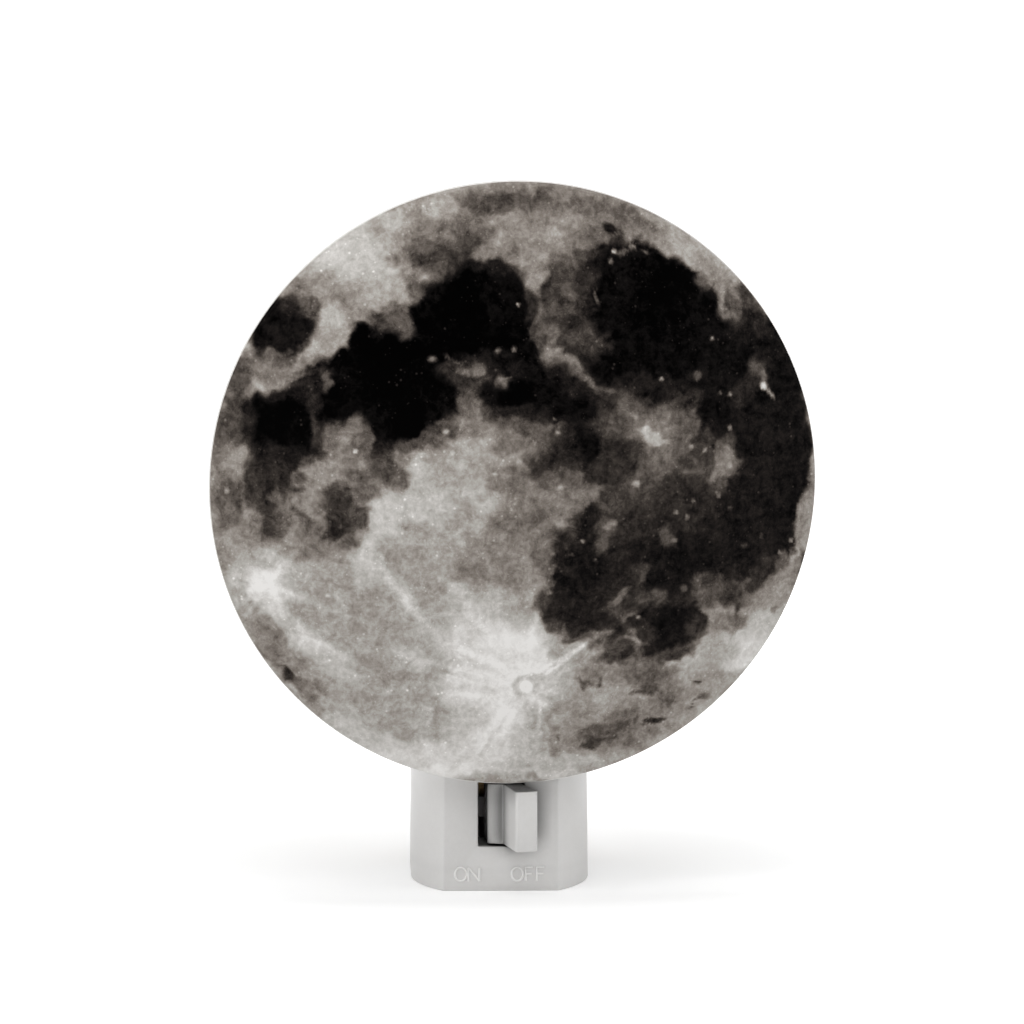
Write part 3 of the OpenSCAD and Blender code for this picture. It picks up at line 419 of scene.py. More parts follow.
SEAS = [
    # Dark ground
    (-22, 20, 14, 9, 5), (-41, 12, 8, 7, 6), (-43.6, 3, 4, 6, 16), (6, 19, 12, 8, 10), (12.5, 8, 7, 6, 14),
    (10, 31, 5.6, 9, 17), (26, 20, 13, 5, 6.5), (25, 3, 10, 11, 22), (35.4, 10, 3.4, 5, 10), (21, -15, 13, 12, 13),
    (45, -8, 8, 9, 8.5, 20), (-20, 10.5, 5, 3, 15), (0.5, 27, 4, 8, 3),
    # Sea of crises
    (-42, 29.4, 6, 4.9, 5, 60), (-39, 33, 2.6, 1.9, 14, -35),
    # Sea of serenity
    (-14, 30.5, 6, 5.6, 2), (-10, 36.6, 5.4, 3.6, 3, 20), (-7, 32, 9.4, 7.8, 1.5), (-3, 36, 5, 4, 2.5),
    (-5, 39.6, 6.4, 1.2, 8), (-15.6, 35, 2.2, 2.4, 4),
    # Sea of tranquillity
    (-24, 22, 10, 7, 1), (-29, 25, 4, 5, 1.5, -10), (-19.5, 15, 7, 6, 1.2), (-33, 20.6, 4, 3.6, 3.5, 20),
    (-32, 16, 4.2, 3, 2), (-25.4, 11.6, 2.8, 4.4, 3), (-16, 23.4, 6, 4, 1.2), (-36, 21.6, 2.4, 1.2, 15, 10),
    (-38, 19, 3.2, 1.1, 14, 12), (-25, 7.6, 2.4, 2.4, 12), (-24, 4, 3.2, 2.2, 29), (-28, 3, 3, 1.5, 34),
    (-14, 17, 3.4, 4, 4), (-20.6, 6.4, 1.4, 1.2, 45),
    # Sea of fecundity
    (-42.4, 12, 6.8, 6.4, 2), (-41.4, 17.4, 3.4, 1.5, 8, 8), (-48.4, 12.4, 1.8, 4.4, 10), (-44, 5, 4.4, 4, 9),
    (-40, 6.4, 2, 2.4, 8), (-47, 1.4, 1.8, 5, 20, 10), (-42.4, 3, 2.6, 2, 15), (-44.6, -6, 2.2, 2.7, 20, 25),
    (-46, -2.6, 1.8, 3, 22, 20), (-37, 16.4, 1.6, 2, 12), (-36.4, 11, 1.6, 3, 14),
    # Sea of nectar
    (-32.2, -0.4, 3.2, 2.2, 25), (-32.4, -3, 3.4, 2.4, 21), (-33, -6.4, 3, 2.1, 15), (-29.2, -4, 2.2, 2.8, 28),
    (-31, -9.2, 1.4, 1, 36), (-28.6, -0.4, 1.6, 1.6, 40),
    # Middle seas
    (-4, 23.4, 6, 2.4, 7), (-10.5, 21.6, 3, 2.2, 15), (-8.6, 19, 2.2, 1.6, 22), (-9, 16.5, 1.6, 3, 38),
    (-8.6, 13.6, 3, 1.6, 46), (-5.6, 18.5, 1.8, 3, 5), (-4, 15.4, 2.4, 2, 13), (-5.8, 15, 1, 1.4, 30),
    (0, 17.6, 4.6, 3, 1.2), (0, 14.6, 3.4, 1.2, 10), (5.4, 18.4, 3.4, 2.6, 4), (9, 15.4, 2.6, 1.8, 2.5),
    (12, 14.2, 3, 3, 4.5), (12.2, 9, 3, 3.6, 3), (4, 6.2, 3.4, 2.3, 15), (8.4, 7.6, 3.4, 2.6, 13),
    (14.4, 3.4, 4, 3, 13), (12.4, -6, 3, 3.6, 12, 10), (8.6, -9.4, 2.4, 1.8, 16), (9.3, 3, 1.6, 1.2, 30),
    # Between the seas
    (6, 28.5, 2.6, 4.6, 19), (8, 37, 3.6, 3.6, 25), (8, 33, 3.2, 2.2, 26), (12.4, 36.5, 2.2, 5, 13),
    (9, 41.4, 3.2, 1.4, 33, 10), (12.4, 27.4, 3.4, 1.8, 25), (9, 30.4, 3, 1.2, 14), (4.6, 36, 1.6, 2.4, 13),
    (3.4, 39.4, 2, 1.8, 48),
    # Sea of showers
    (24, 35, 10.6, 8.4, 3, -8), (21, 41.2, 7.4, 3.6, 4), (15.4, 41.6, 3.4, 2, 6, 30), (30, 34.4, 6, 5.6, 1.5),
    (18, 32.6, 4, 6.6, 3.5), (34.4, 31, 3, 5.4, 3, 20), (26, 25.6, 10, 5.4, 3), (34, 26, 6.5, 5, 3.5),
    (16.4, 22.8, 4.4, 3, 3.5), (24, 18.6, 7, 2.4, 8),
    # Ocean of storms
    (43, 25.6, 5, 4.6, 7.5), (48, 23, 4, 5, 7.5), (43, 29.4, 2.6, 3.4, 13, 30), (42.6, 33.4, 1.6, 3, 20, 35),
    (38, 21, 5, 4.4, 4.5), (36.6, 14.4, 3.8, 6, 5), (43, 16.6, 4, 3.6, 12), (50, 17, 3.6, 6.4, 6),
    (46, 8, 8.8, 8.6, 6.5), (51.4, 3, 3.4, 9, 7), (43, -4, 9.4, 7, 7.8), (42, -12, 9, 4.6, 8), (35, -10, 5.4, 6, 8),
    (49.4, -6, 3.4, 6.4, 6.5), (38.6, -16.4, 5, 2, 11, 5), (45.4, -15.4, 2.2, 2, 12, 20),
    (43.5, -18.2, 2.4, 1.6, 19, 30), (48.4, -15, 1.2, 1.6, 30, -10),
    # Sea of islands
    (21, 12, 8, 4, 23), (19, 15.6, 4, 1.6, 27), (26.6, 11, 5.4, 4, 33), (25, 10.4, 3.6, 2.6, 40),
    (30.6, 12.6, 2, 1.4, 30, -30), (26, 5, 5, 3, 34), (30, 8.4, 2, 2.6, 33), (32, 2.6, 3, 3, 20),
    (18, 7, 3.4, 2.2, 13), (19, 3.6, 3, 1.8, 14), (22.4, 3.4, 2, 2, 30), (29, -1.4, 5, 3, 16),
    (17.4, -3.4, 2.6, 2, 27), (15.8, -6.8, 1.8, 1.4, 27), (24, -4.6, 4.4, 3.4, 12), (33, -3, 4, 4, 12),
    (37.8, 4, 2.6, 3, 35), (36.6, -0.4, 1.5, 1.8, 22), (39.2, 7.6, 1.6, 1.6, 20), (33.6, 8, 1.6, 3, 17),
    (30, -6.6, 4, 2.4, 13),
    # Known sea
    (22, -12, 5.4, 3.6, 8), (31, -13.4, 5, 3.6, 7), (27, -17.4, 4, 2.6, 7), (17, -13.4, 4, 3.4, 12),
    (27.4, -8.8, 1.5, 1.9, 28, -10), (21.4, -15.6, 1.3, 2, 27), (14.4, -9.6, 1.1, 2.2, 29, -22),
    # Sea of clouds
    (10.6, -17, 5.6, 6.6, 8.5), (8, -12.4, 2.8, 2.2, 13), (12.4, -22.4, 6.4, 3.4, 9), (6.2, -21.4, 3, 3, 10),
    (4, -20, 1.4, 2.4, 22), (6, -24.6, 1.6, 1.4, 22), (18.4, -21.6, 2.6, 2, 20), (18, -27.4, 3.6, 1.6, 18, 20),
    (17.4, -30.6, 3.2, 1.2, 23, 12), (9, -26.6, 2, 1, 30, -8), (13, -26.8, 3, 1.1, 29, -6),
    (24, -29.4, 2.2, 1.2, 20, 20), (20.6, -31.4, 2.6, 1.4, 29, 10),
    # Sea of moisture
    (34.6, -19.6, 3, 2.6, 32), (39.4, -20, 2.4, 2, 22, 20), (42.4, -21, 1.8, 1.4, 33, 20), (29.8, -25.2, 5, 4.6, 5),
    (26.4, -28.8, 3.6, 2.4, 7, 25), (23.4, -26.8, 1.6, 1.6, 14), (28.6, -31.2, 4.2, 1, 17, 14),
    (30.6, -20.6, 2.4, 1.4, 13), (36.4, -24, 1.8, 1.6, 49),
    # Last touches
    (-15, 19.8, 2.6, 1.8, 1.5), (34.6, 5, 1.1, 1.8, 17), (-32.5, 27.6, 2.4, 1.6, 60, 30),
    (-37, 32, 1.4, 2.4, 28, -10), (-50, 20, 1.6, 2.6, 25, -12), (-38, 23.4, 2, 1, 50, 25),
    (-29.6, 11.6, 1.4, 1.8, 40), (-28, 8.6, 1.6, 1.6, 34), (-36.4, 11, 1.4, 2.6, 20), (-33.6, 9.6, 1.6, 2.4, 38),
    (-16, 9.2, 3, 1.6, 30), (-20, 8.8, 2.2, 1.4, 27), (-12.2, 13, 1.8, 2.6, 32), (-15, 11.6, 1.6, 1.2, 20),
    (-26.4, 0.4, 2.2, 1.6, 36), (-22, 3.6, 1.6, 1.6, 36), (-42.6, -0.4, 1.6, 1.6, 36), (-51.6, -4.6, 1.6, 2.4, 34),
    (3.4, 12.2, 4.4, 1.1, 31), (15, -1.4, 1.8, 2, 20), (12.4, 42.4, 2, 1.6, 20), (2.4, 34, 1.4, 2.4, 12),
    (-21.4, 42.6, 2, 1.6, 46), (-18.6, 37, 1.8, 2.6, 34), (-12.6, 51, 2.6, 1.6, 59), (-14, -52.8, 10, 1.4, 86, 5),
    (8, -54, 8, 1, 75, -8), (52.9, -8, 0.9, 3.6, 54, -10), (51.4, -13.6, 1.1, 2.4, 58, -18), (34.6, -18.6, 3, 2, 30),
    (24, -20.6, 2.4, 1.4, 25), (18, -30.2, 2.6, 1.6, 22, 10), (32.8, -26, 1.6, 3, 17), (-43.6, -28, 4, 2, 47, -45),
    (-49.4, -18.6, 1.6, 3, 64, -15), (38.6, 3.8, 2.4, 2.6, 40), (30, 15.6, 3.4, 1.8, 16),
    (-28.5, 31.4, 2.6, 1.2, 55, 10), (-21.5, 30.4, 2, 2.6, 33), (-21, 36.4, 2, 2.6, 62),
    (-43.4, 24.6, 3, 1.2, 34, 30), (-28, 11, 1.2, 2, 36), (-37.4, 6, 2, 1.2, 26), (-22.4, 2, 1.6, 1.4, 36),
    (-46.6, -6, 1.2, 2, 40, 20), (-36.4, 33.6, 1.4, 1.6, 30), (-40.4, 36.6, 2, 1.4, 50, 45), (10.4, 1, 2.4, 1, 33),
    (25, 11.6, 3, 1.2, 36), (16, 17, 3, 2.4, 12), (5.4, -14.8, 1.2, 2, 34), (14, 45.6, 4, 1.2, 38, -4),
    (34, 36.4, 0.9, 2, 24, 20),
    # Dark hollows
    (24.4, -36.6, 2.2, 1, 24, 50), (22.6, -37.6, 1.6, 0.5, 30, 20), (26, -34.9, 2.4, 0.6, 32, 28),
    (12.6, -36.2, 1.7, 0.5, 34, -6), (15.3, -36.2, 1, 0.5, 30), (26.4, -43.2, 1.8, 0.7, 14, 30),
    (22.8, -44, 1.1, 0.4, 22, 50), (17, -45, 4, 0.8, 29, 10), (14.4, -47.6, 3, 0.9, 22, 16),
    (21, -42, 2.6, 0.9, 33, 8), (33.8, -37.3, 0.9, 0.45, 25, 20), (33, -40.4, 2.6, 0.35, 30, 35),
    (-41.6, -33.6, 1.8, 0.6, 17, -46), (28, -39.3, 0.8, 0.5, 33), (51.6, -15.2, 0.8, 2.3, 17, -17),
    (46.8, -23.6, 1, 0.6, 35, 40), (40.8, -22, 0.7, 1.6, 20, -20), (-38.9, -4.2, 0.9, 1.6, 28, 15),
    (-39.8, 1, 1.2, 0.6, 22), (-42, 0.9, 0.9, 0.5, 28), (17.6, -26.6, 1, 2.2, 12, -50), (19.6, -31, 1, 0.6, 12, 20),
    # Ranges
    (3.2, 38.2, 1.2, 1.8, 50), (4.2, 35.6, 0.7, 1.4, 26), (6.4, 31.6, 1.5, 0.8, 24, -45), (5.6, 28, 1.1, 2.2, 34, 40),
    (6.4, 24.4, 2, 1.6, 42, -40), (4, 27.4, 1.3, 1.8, 28, 30), (3, 29.6, 0.9, 1.8, 20), (7, 25.8, 1.7, 1.1, 50, -40),
    (8.6, 23.6, 2.2, 1, 42, -38), (9.8, 21.3, 1.8, 1.1, 34, -30), (12.4, 19.6, 2.2, 0.7, 32, -34),
    (16.4, 18, 2, 0.5, 27, -22), (8.8, 35.8, 1.2, 1.2, 36), (-8.8, 22.8, 1.5, 0.8, 40, 10), (-3, 20.6, 1.3, 1, 40),
    (-12, 24, 1.6, 0.45, 30, -35), (-33.9, 20.6, 0.5, 1.8, 30, -20), (14.3, 35.2, 0.4, 1, 34, 10),
    (20.2, 42.8, 1.6, 0.45, 30, -5), (23.4, 42.2, 1.5, 0.35, 30, -14), (20, -23.6, 2.2, 0.6, 34, 35),
    (18.4, -19.5, 1.6, 1, 36, 18), (23.5, 46.4, 3.4, 1.1, 38, -8), (27.4, 43.8, 3.4, 1.3, 54, -30),
    (31.6, 41.6, 3.4, 1.6, 62, -32), (35.4, 38, 3.4, 1.8, 54, -52), (38, 34.6, 3.2, 1.6, 50, -65),
    (39.6, 31.4, 2.4, 1.2, 30, -78),
]
# Marks with crisp outlines, in the same form
MARKS = [
    (17.3, 46.5, 1.35, 0.8, 8, -25), (17.9, 42.4, 0.45, 0.35, 75), (17.2, 40.8, 0.4, 0.5, 40),
    (21.3, 43.2, 0.7, 0.35, 45), (0.05, 33.7, 0.3, 0.3, 60), (-3.8, 25.7, 0.6, 0.4, 34, 20),
    (-0.9, 25.9, 0.4, 0.45, 50), (-15.6, 24.3, 0.7, 0.5, 30), (35.7, 26.5, 0.35, 0.35, 55), (26, 19.8, 0.4, 0.4, 55),
    (38.9, 16.3, 0.35, 0.35, 45), (37, 16.7, 0.3, 0.3, 30), (32.7, 20, 0.8, 0.9, 26), (45.3, 19.4, 0.55, 1.3, 36, 12),
    (45.3, 17.3, 0.6, 0.8, 78, 30), (46.6, 15.9, 1.3, 0.35, 60, -52), (38.7, 10.3, 0.4, 0.5, 45),
    (31.4, 7.3, 0.5, 0.5, 52), (34, 6.6, 0.3, 0.3, 50), (23.1, 10.8, 0.9, 0.8, 60), (25.6, 8.4, 2, 0.5, 58, 8),
    (24.2, 9.4, 1.6, 1.1, 60), (38.7, 3.4, 0.5, 0.6, 52), (37.2, 2.8, 0.5, 0.4, 46), (36.6, -1.8, 0.4, 0.5, 42),
    (21.2, 1.2, 0.7, 0.6, 52), (31.8, -2.5, 0.4, 0.4, 38), (28.6, -4.4, 0.4, 0.4, 46), (30.6, -5.3, 0.35, 0.6, 40),
    (38.7, -4.3, 0.3, 0.3, 25), (28.2, -9.5, 0.6, 0.5, 48), (15.8, -6.6, 0.7, 0.6, 50), (16.8, -5.8, 0.9, 0.7, 44),
    (11.3, -8.9, 0.35, 0.35, 60), (5.8, -11.1, 0.35, 0.3, 45), (9.3, -11.4, 0.3, 0.3, 34),
    (13.7, -12.5, 0.3, 0.3, 36), (5.4, -18.3, 0.5, 0.35, 38), (21.8, -23.6, 0.4, 0.35, 60),
    (20.8, -26, 0.7, 0.4, 42, 20), (41.6, -11.4, 0.6, 0.4, 26, 15), (44.8, -9.8, 0.35, 0.6, 22),
    (48.4, -13.3, 0.35, 0.4, 46), (50.6, -11.3, 0.35, 0.35, 55), (51.5, -9.6, 0.3, 0.3, 45),
    (42.4, -18, 0.6, 0.5, 34), (30.3, -18.6, 0.7, 0.7, 36), (-29.5, 7.7, 0.5, 0.3, 85, 35),
    (-32.2, -6, 0.35, 0.3, 32), (-13.4, 11.4, 0.55, 0.5, 72), (-12.3, 7.5, 0.4, 0.4, 74), (-13, 6.1, 0.4, 0.35, 72),
    (-4.6, 3.7, 0.35, 0.35, 74), (2.6, 9.2, 0.4, 0.4, 50), (6.7, 10.9, 0.4, 0.35, 50), (6.2, 13.4, 0.3, 0.3, 42),
    (7.2, 0.9, 0.6, 0.5, 60), (2.9, 6.2, 0.3, 0.4, 30), (-10.8, -8.9, 0.9, 0.5, 70, -15), (-51.9, -0.1, 0.5, 0.5, 62),
    (-52.3, 4.6, 0.4, 0.4, 60), (-34.2, -18.8, 0.5, 0.35, 80), (-39.4, 2.8, 1.5, 1.2, 37), (-39.3, 2.9, 0.8, 0.6, 24),
    (7.9, -46.2, 0.3, 0.6, 32, 15), (1.6, -36, 2.5, 2.3, 66), (1.6, -36, 1.25, 1.15, 83),
]
# A ray crater is (right, up, core radius, longest ray, number of rays, strength, seed)
RAY_CRATERS = [
    (1.6, -36, 3, 42, 110, 0.19, 3), (24.2, 9.6, 5, 14, 34, 0.7, 8), (37.8, 3.4, 3, 7.5, 20, 0.5, 4),
    (45.6, 17.4, 1, 4, 12, 0.3, 5), (-45, -17, 2, 14, 22, 0.3, 6), (-50.2, 5.6, 1, 4, 10, 0.2, 2),
]
# A ray's points lie within this turn of its heading, in radians; all others count as far off
WIDEST_TURN = 1.2
FAR_OFF = 1e3
# The first and last shares of a streak's length, over which it comes up and dies away
STREAK_RISE = 0.15
STREAK_FALL = 0.5
# A long streak is (right, up, right, up at its far end, half width, strength)
STREAKS = [
    (3.6, -34.8, 21.4, -21.6, 0.3, 1.3), (4.4, -32.7, 14.5, -26.9, 0.22, 0.9), (6, -34.4, 14, -31, 0.25, 0.5),
    (4.2, -38.4, 4.6, -48, 0.3, 0.7), (0, -40, -3, -47, 0.4, 0.5), (-2, -40, -8, -50, 0.5, 0.5),
    (4, -38, 12, -49, 0.4, 0.3), (-1, -33, -15, -26, 0.6, 0.5), (-14, -27, -29, -10, 0.7, 0.6),
    (-2, -31, -20, -4, 0.8, 0.4), (-4, -34, -34, -27, 0.6, 0.4), (-3, -38, -30, -36, 0.5, 0.35),
    (-4, -36, -24, -31, 0.4, 0.4), (-1, -30, -8, -8, 0.7, 0.4), (2, -31, 4, -15, 0.5, 0.3),
    (-45, -17, -30, -23, 0.5, 0.6), (-45, -17, -34, -31, 0.5, 0.6), (-45, -17, -36, -7, 0.4, 0.5),
    (-45, -17, -50, -26, 0.4, 0.5), (-44, -18, -39, -30, 0.4, 0.4), (-28, -8, -16, -24, 0.7, 0.35),
    (-26, -12, -13, -30, 0.6, 0.35), (-38, -26, -22, -36, 0.5, 0.4), (29, 3, 36.5, 2.6, 0.3, 0.9),
    (26, 11, 30, 19, 0.4, 0.6), (22, 12, 14, 19, 0.5, 0.5), (26, 7, 33, 0, 0.4, 0.5),
]


def warp(points, size, reach, seed):
    """The points, each moved by smooth noise of a size and a reach in millimetres."""
    shift = Vector((seed * 11.3, seed * 5.7, seed * 3.1))
    moved = []
    for right, up in points:
        turn = noise.noise_vector(Vector((right / size, up / size, 0)) + shift)
        moved.append((right + reach * turn.x, up + reach * turn.y))
    return np.array(moved)


def paint(points, tones, dabs, edge):
    """Lays dabs over the points' tones, which are from 0 to 1; a dab fades over an edge to each side."""
    for right, up, half_long, half_wide, tone, *tilt in dabs:
        angle = math.radians(sum(tilt))
        away = points - (right, up)
        along = (away[:, 0] * math.cos(angle) + away[:, 1] * math.sin(angle)) / half_long
        across = (away[:, 1] * math.cos(angle) - away[:, 0] * math.sin(angle)) / half_wide
        soft = min(0.5, edge / min(half_long, half_wide))
        cover = np.clip((1 + soft - np.hypot(along, across)) / (2 * soft), 0, 1)
        tones = tones + (tone / 100 - tones) * cover * cover * (3 - 2 * cover)
    return tones


def ray_field(points):
    """The bright rays round the ray craters, and the long streaks."""
    field = np.zeros(len(points))
    for right, up, core, length, count, strength, seed in RAY_CRATERS:
        random = np.random.default_rng(seed)
        away = points - (right, up)
        distance = np.hypot(away[:, 0], away[:, 1])
        angle = np.arctan2(away[:, 1], away[:, 0])
        for k in range(count):
            heading = math.tau * (k + random.uniform(-0.4, 0.4)) / count
            reach = length * random.uniform(0.35, 1.0)
            width = random.uniform(0.2, 0.6)
            turn = np.abs((angle - heading + math.pi) % math.tau - math.pi)
            side = np.where(turn < WIDEST_TURN, distance * np.sin(np.minimum(turn, WIDEST_TURN)), FAR_OFF)
            fade = np.clip(1 - distance / reach, 0, 1) * np.clip(distance / core, 0, 1)
            field += strength * fade * np.exp(-((side / width) ** 2))
    for right, up, far_right, far_up, width, strength in STREAKS:
        line = np.array([far_right - right, far_up - up])
        size = np.hypot(*line)
        away = points - (right, up)
        along = away @ line / size
        side = np.abs(away[:, 0] * line[1] - away[:, 1] * line[0]) / size
        rise, fall = along / (STREAK_RISE * size), (size - along) / (STREAK_FALL * size)
        inside = np.clip(rise, 0, 1) * np.clip(fall, 0, 1)
        field += strength * inside * np.exp(-((side / (width * (1 + along / size))) ** 2))
    return field


def moon_print(name):
    """The printed dome: painted tones with mottling, rays and craterlets, under a satin face."""
    shader = Shader(name)
    point = shader.place()
    painted = shader.attribute("tone")
    rays = shader.attribute("rays")
    # Three kinds of mottling, each centred on nought: clouds of all sizes, rough ground, and dust
    clouds = shader.centred(shader.noise(point, 8, 7, 0.66, 0.5), 10.0)
    rough = shader.centred(shader.noise(shader.shifted(point, 40), 2.4, 6, 0.72, 0.5), 10.0)
    dust = shader.centred(shader.noise(shader.shifted(point, 70), 0.9, 4, 0.7, 0.3), 10.0)
    mottle = shader.total((clouds, 0.7), (rough, 1.05), (dust, 0.65))

    # Craterlets: a few cells of two sizes hold a white dot
    dots = 0.0
    for size, low, high, few, strength in ((1.7, 0.2, 0.06, 0.68, 1.0), (0.9, 0.24, 0.08, 0.66, 0.7)):
        chosen = shader.math("GREATER_THAN", shader.cells(point, size, "Color"), few)
        spread = shader.remap(shader.cells(point, size, "Distance"), low, high, smooth=True)
        dots = shader.math("MAXIMUM", dots, shader.times(shader.times(spread, chosen), strength))

    # The mottling is strongest in the middle tones, and faint in black and white
    rest = shader.math("SUBTRACT", 1.0, painted)
    reach = shader.times(shader.times(rest, shader.math("POWER", painted, 0.7)), MOTTLING)
    shown = shader.total((painted, 0.06), bias=0.12)
    tone = shader.total((painted, 1.0), (shader.times(mottle, reach), 1.0), (shader.times(rays, shown), 1.0),
                        (shader.times(dots, shown), 0.9))
    colour = shader.ramp(tone, (
        (0.02, (0.0003, 0.0002, 0.0002)), (0.06, (0.0054, 0.0046, 0.0044)), (0.12, (0.0163, 0.0133, 0.0119)),
        (0.22, (0.048, 0.04, 0.0345)), (0.34, (0.111, 0.0945, 0.082)), (0.47, (0.213, 0.187, 0.165)),
        (0.58, (0.323, 0.295, 0.267)), (0.68, (0.436, 0.42, 0.393)), (0.78, (0.59, 0.57, 0.545)),
        (0.9, (0.8, 0.785, 0.765)),
    ))
    return shader.finish(
        Base_Color=colour, Roughness=shader.remap(mottle, -2, 2, 0.4, 0.48), IOR=1.46, Specular_IOR_Level=0.02,
        Normal=shader.bump(shader.noise(point, 14, 1, 0.4), 0.03),
    )


# ---------- The shade ----------

DOME_RINGS = 140
RIM_STEPS = 12
INNER_STEPS = 10
BOSS_SIDE = 8 * MM
BOSS_Z = 49 * MM


def shade_place():
    """Where the shade's own frame lies: +X to the right, +Y up and +Z to the front, at the middle of its rim."""
    place = Matrix.Translation((0, RIM_Y, SHADE_Z)) @ Matrix.Rotation(math.radians(90), 4, "X")
    return Matrix.Translation((SOCKET.x, SOCKET.y, 0)) @ Matrix.Rotation(SHADE_TURN, 4, "Z") @ place


def dome_height(radius, offset):
    """How far the dome stands in front of its rim at a radius, on its outer or inner face."""
    return math.sqrt((DOME_R + offset) ** 2 - radius**2) - DOME_DROP


def disc_grid(radius, rings):
    """Points and triangles of a disc of rings, each with six more points than the last."""
    points = [(0.0, 0.0)]
    for ring in range(1, rings + 1):
        for k in range(6 * ring):
            points.append(on_circle(radius * ring / rings, math.tau * k / (6 * ring)))
    faces = []
    for ring in range(rings):
        inner = 1 + 3 * ring * (ring - 1)
        outer = 1 + 3 * ring * (ring + 1)
        for sector in range(6):
            for k in range(ring + 1):
                far = outer + (sector * (ring + 1) + k)
                beyond = outer + (sector * (ring + 1) + k + 1) % (6 * (ring + 1))
                near = 0 if ring == 0 else inner + (sector * ring + k) % (6 * ring)
                faces.append((near, far, beyond))
                if k < ring:
                    beside = inner + (sector * ring + k + 1) % (6 * ring)
                    faces.append((near, beyond, beside))
    return points, faces


def make_dome(printed, plain):
    """The shade's wall: a finely divided printed face, a rounded rim and a plain inner face."""
    half = SHADE_T / 2
    # The rim's round starts where the printed face ends, at this angle
    lean = math.atan2(DOME_DROP, RIM_MID_R)
    flat, faces = disc_grid(RIM_MID_R + half * math.cos(lean), DOME_RINGS)
    points = [(x, y, dome_height(math.hypot(x, y), half)) for x, y in flat]
    around = 6 * DOME_RINGS
    # The first two steps of the rim still belong to the print
    first_plain = len(faces) + 2 * around
    profile = []
    for step in range(1, RIM_STEPS + 1):
        out, height = on_circle(half, lean - math.pi * step / RIM_STEPS)
        profile.append((RIM_MID_R + out, height))
    inner_r = profile[-1][0]
    for step in range(1, INNER_STEPS):
        radius = inner_r * (1 - step / INNER_STEPS)
        profile.append((radius, dome_height(radius, -half)))
    last = list(range(len(points) - around, len(points)))
    for radius, height in profile:
        ring = list(range(len(points), len(points) + around))
        for k in range(around):
            n = (k + 1) % around
            points.append((*on_circle(radius, math.tau * k / around), height))
            faces.append((last[k], ring[k], ring[n], last[n]))
        last = ring
    points.append((0, 0, dome_height(0, -half)))
    for k in range(around):
        faces.append((last[k], len(points) - 1, last[(k + 1) % around]))
    dome = new_piece("moon_dome", points, faces)
    dome.data.materials.append(printed)
    dome.data.materials.append(plain)
    for polygon in dome.data.polygons[first_plain:]:
        polygon.material_index = 1

    millimetres = (np.array([p[:2] for p in points]) / MM + PRINT_SHIFT) * PRINT_SCALE
    moved = millimetres
    noise.seed_set(11)
    for size, reach, seed in ((9, 1.2, 1), (4, 1.2, 2), (2, 0.9, 3), (1.1, 0.6, 4)):
        moved = warp(moved, size, reach, seed)
    tones = np.full(len(points), LAND_TONE / 100)
    for where, dabs, edge in ((moved, LAND, LAND_EDGE), (moved, SEAS, SEA_EDGE), (millimetres, MARKS, MARK_EDGE)):
        tones = paint(where, tones, dabs, edge)
    for field, values in ("tone", tones), ("rays", ray_field(warp(millimetres, 5, 0.25, 3))):
        dome.data.attributes.new(field, "FLOAT", "POINT").data.foreach_set("value", values.astype(np.float32))
    dome.data.transform(shade_place())
    return dome


def make_bosses(material):
    """The two screw bosses inside the dome, flared where they join it."""
    for side, name in ((-1, "left"), (1, "right")):
        boss = lathe(
            "shade_boss_" + name,
            [(1.25, 3.63), (2.8, 3.63), (3, 3.83), (3, 6.4), (3.12, 6.9), (3.5, 7.5), (3.5, 8.6), (0, 8.6),
             (0, 6.98), (0.97, 6.98), (0.97, 3.9)],
            64,
        )
        boss.data.transform(shade_place() @ Matrix.Translation((side * BOSS_SIDE, BOSS_Z - SHADE_Z, 0)))
        settle(boss, "shade", material)


# ---------- The bulb and its socket ----------
# Heights and radii are in millimetres, on the socket's axis.

PITCH = 2.54
THREAD_FADE = 1.6
CLIMB_STEP = 0.2
GLASS_LOW, GLASS_TALL = 57, 37.5
HOLLOW_LOW, HOLLOW_TALL = 57.5, 36.5
GLASS_STEPS = 72
GLASS_WALL = 0.55
NECK_R = 5.2
BELLY_R = 11
BELLY_SHARE = 0.42
PRESS_LOW, PRESS_TALL = 61, 4.5
ARCH_R = 5
ARCH_Z = 77.25
COIL_TURNS = 64
COIL_STEPS = 14
COIL_R = 0.19
WIRE_R = 0.055
WIRE_SIDES = 6


def on_socket(piece):
    piece.matrix_world = Matrix.Translation((SOCKET.x, SOCKET.y, 0))
    return piece


def thread(low, high, depth):
    """A rolled thread between two heights, which fades into the plain metal at both ends."""
    def form(radius, height, angle):
        wave = 0.5 - 0.5 * math.cos(math.tau * height / PITCH - angle)
        fade = max(0, min(1, (height - low) / THREAD_FADE, (high - height) / THREAD_FADE))
        return radius - depth * wave * fade * fade * (3 - 2 * fade)

    return form


def climb(radius, low, high):
    """Points at one radius from a height to another."""
    count = max(1, round(abs(high - low) / CLIMB_STEP))
    return [(radius, low + (high - low) * k / count) for k in range(count + 1)]


def glass_radius(share):
    """Radius of the glass at a share of its height: a slim neck, a full belly and a drawn-out tip."""
    if share < BELLY_SHARE:
        return NECK_R + (BELLY_R - NECK_R) * math.sin(math.pi / 2 * share / BELLY_SHARE) ** 1.15
    return BELLY_R * max(0, 1 - ((share - BELLY_SHARE) / (1 - BELLY_SHARE)) ** 1.9) ** 0.62


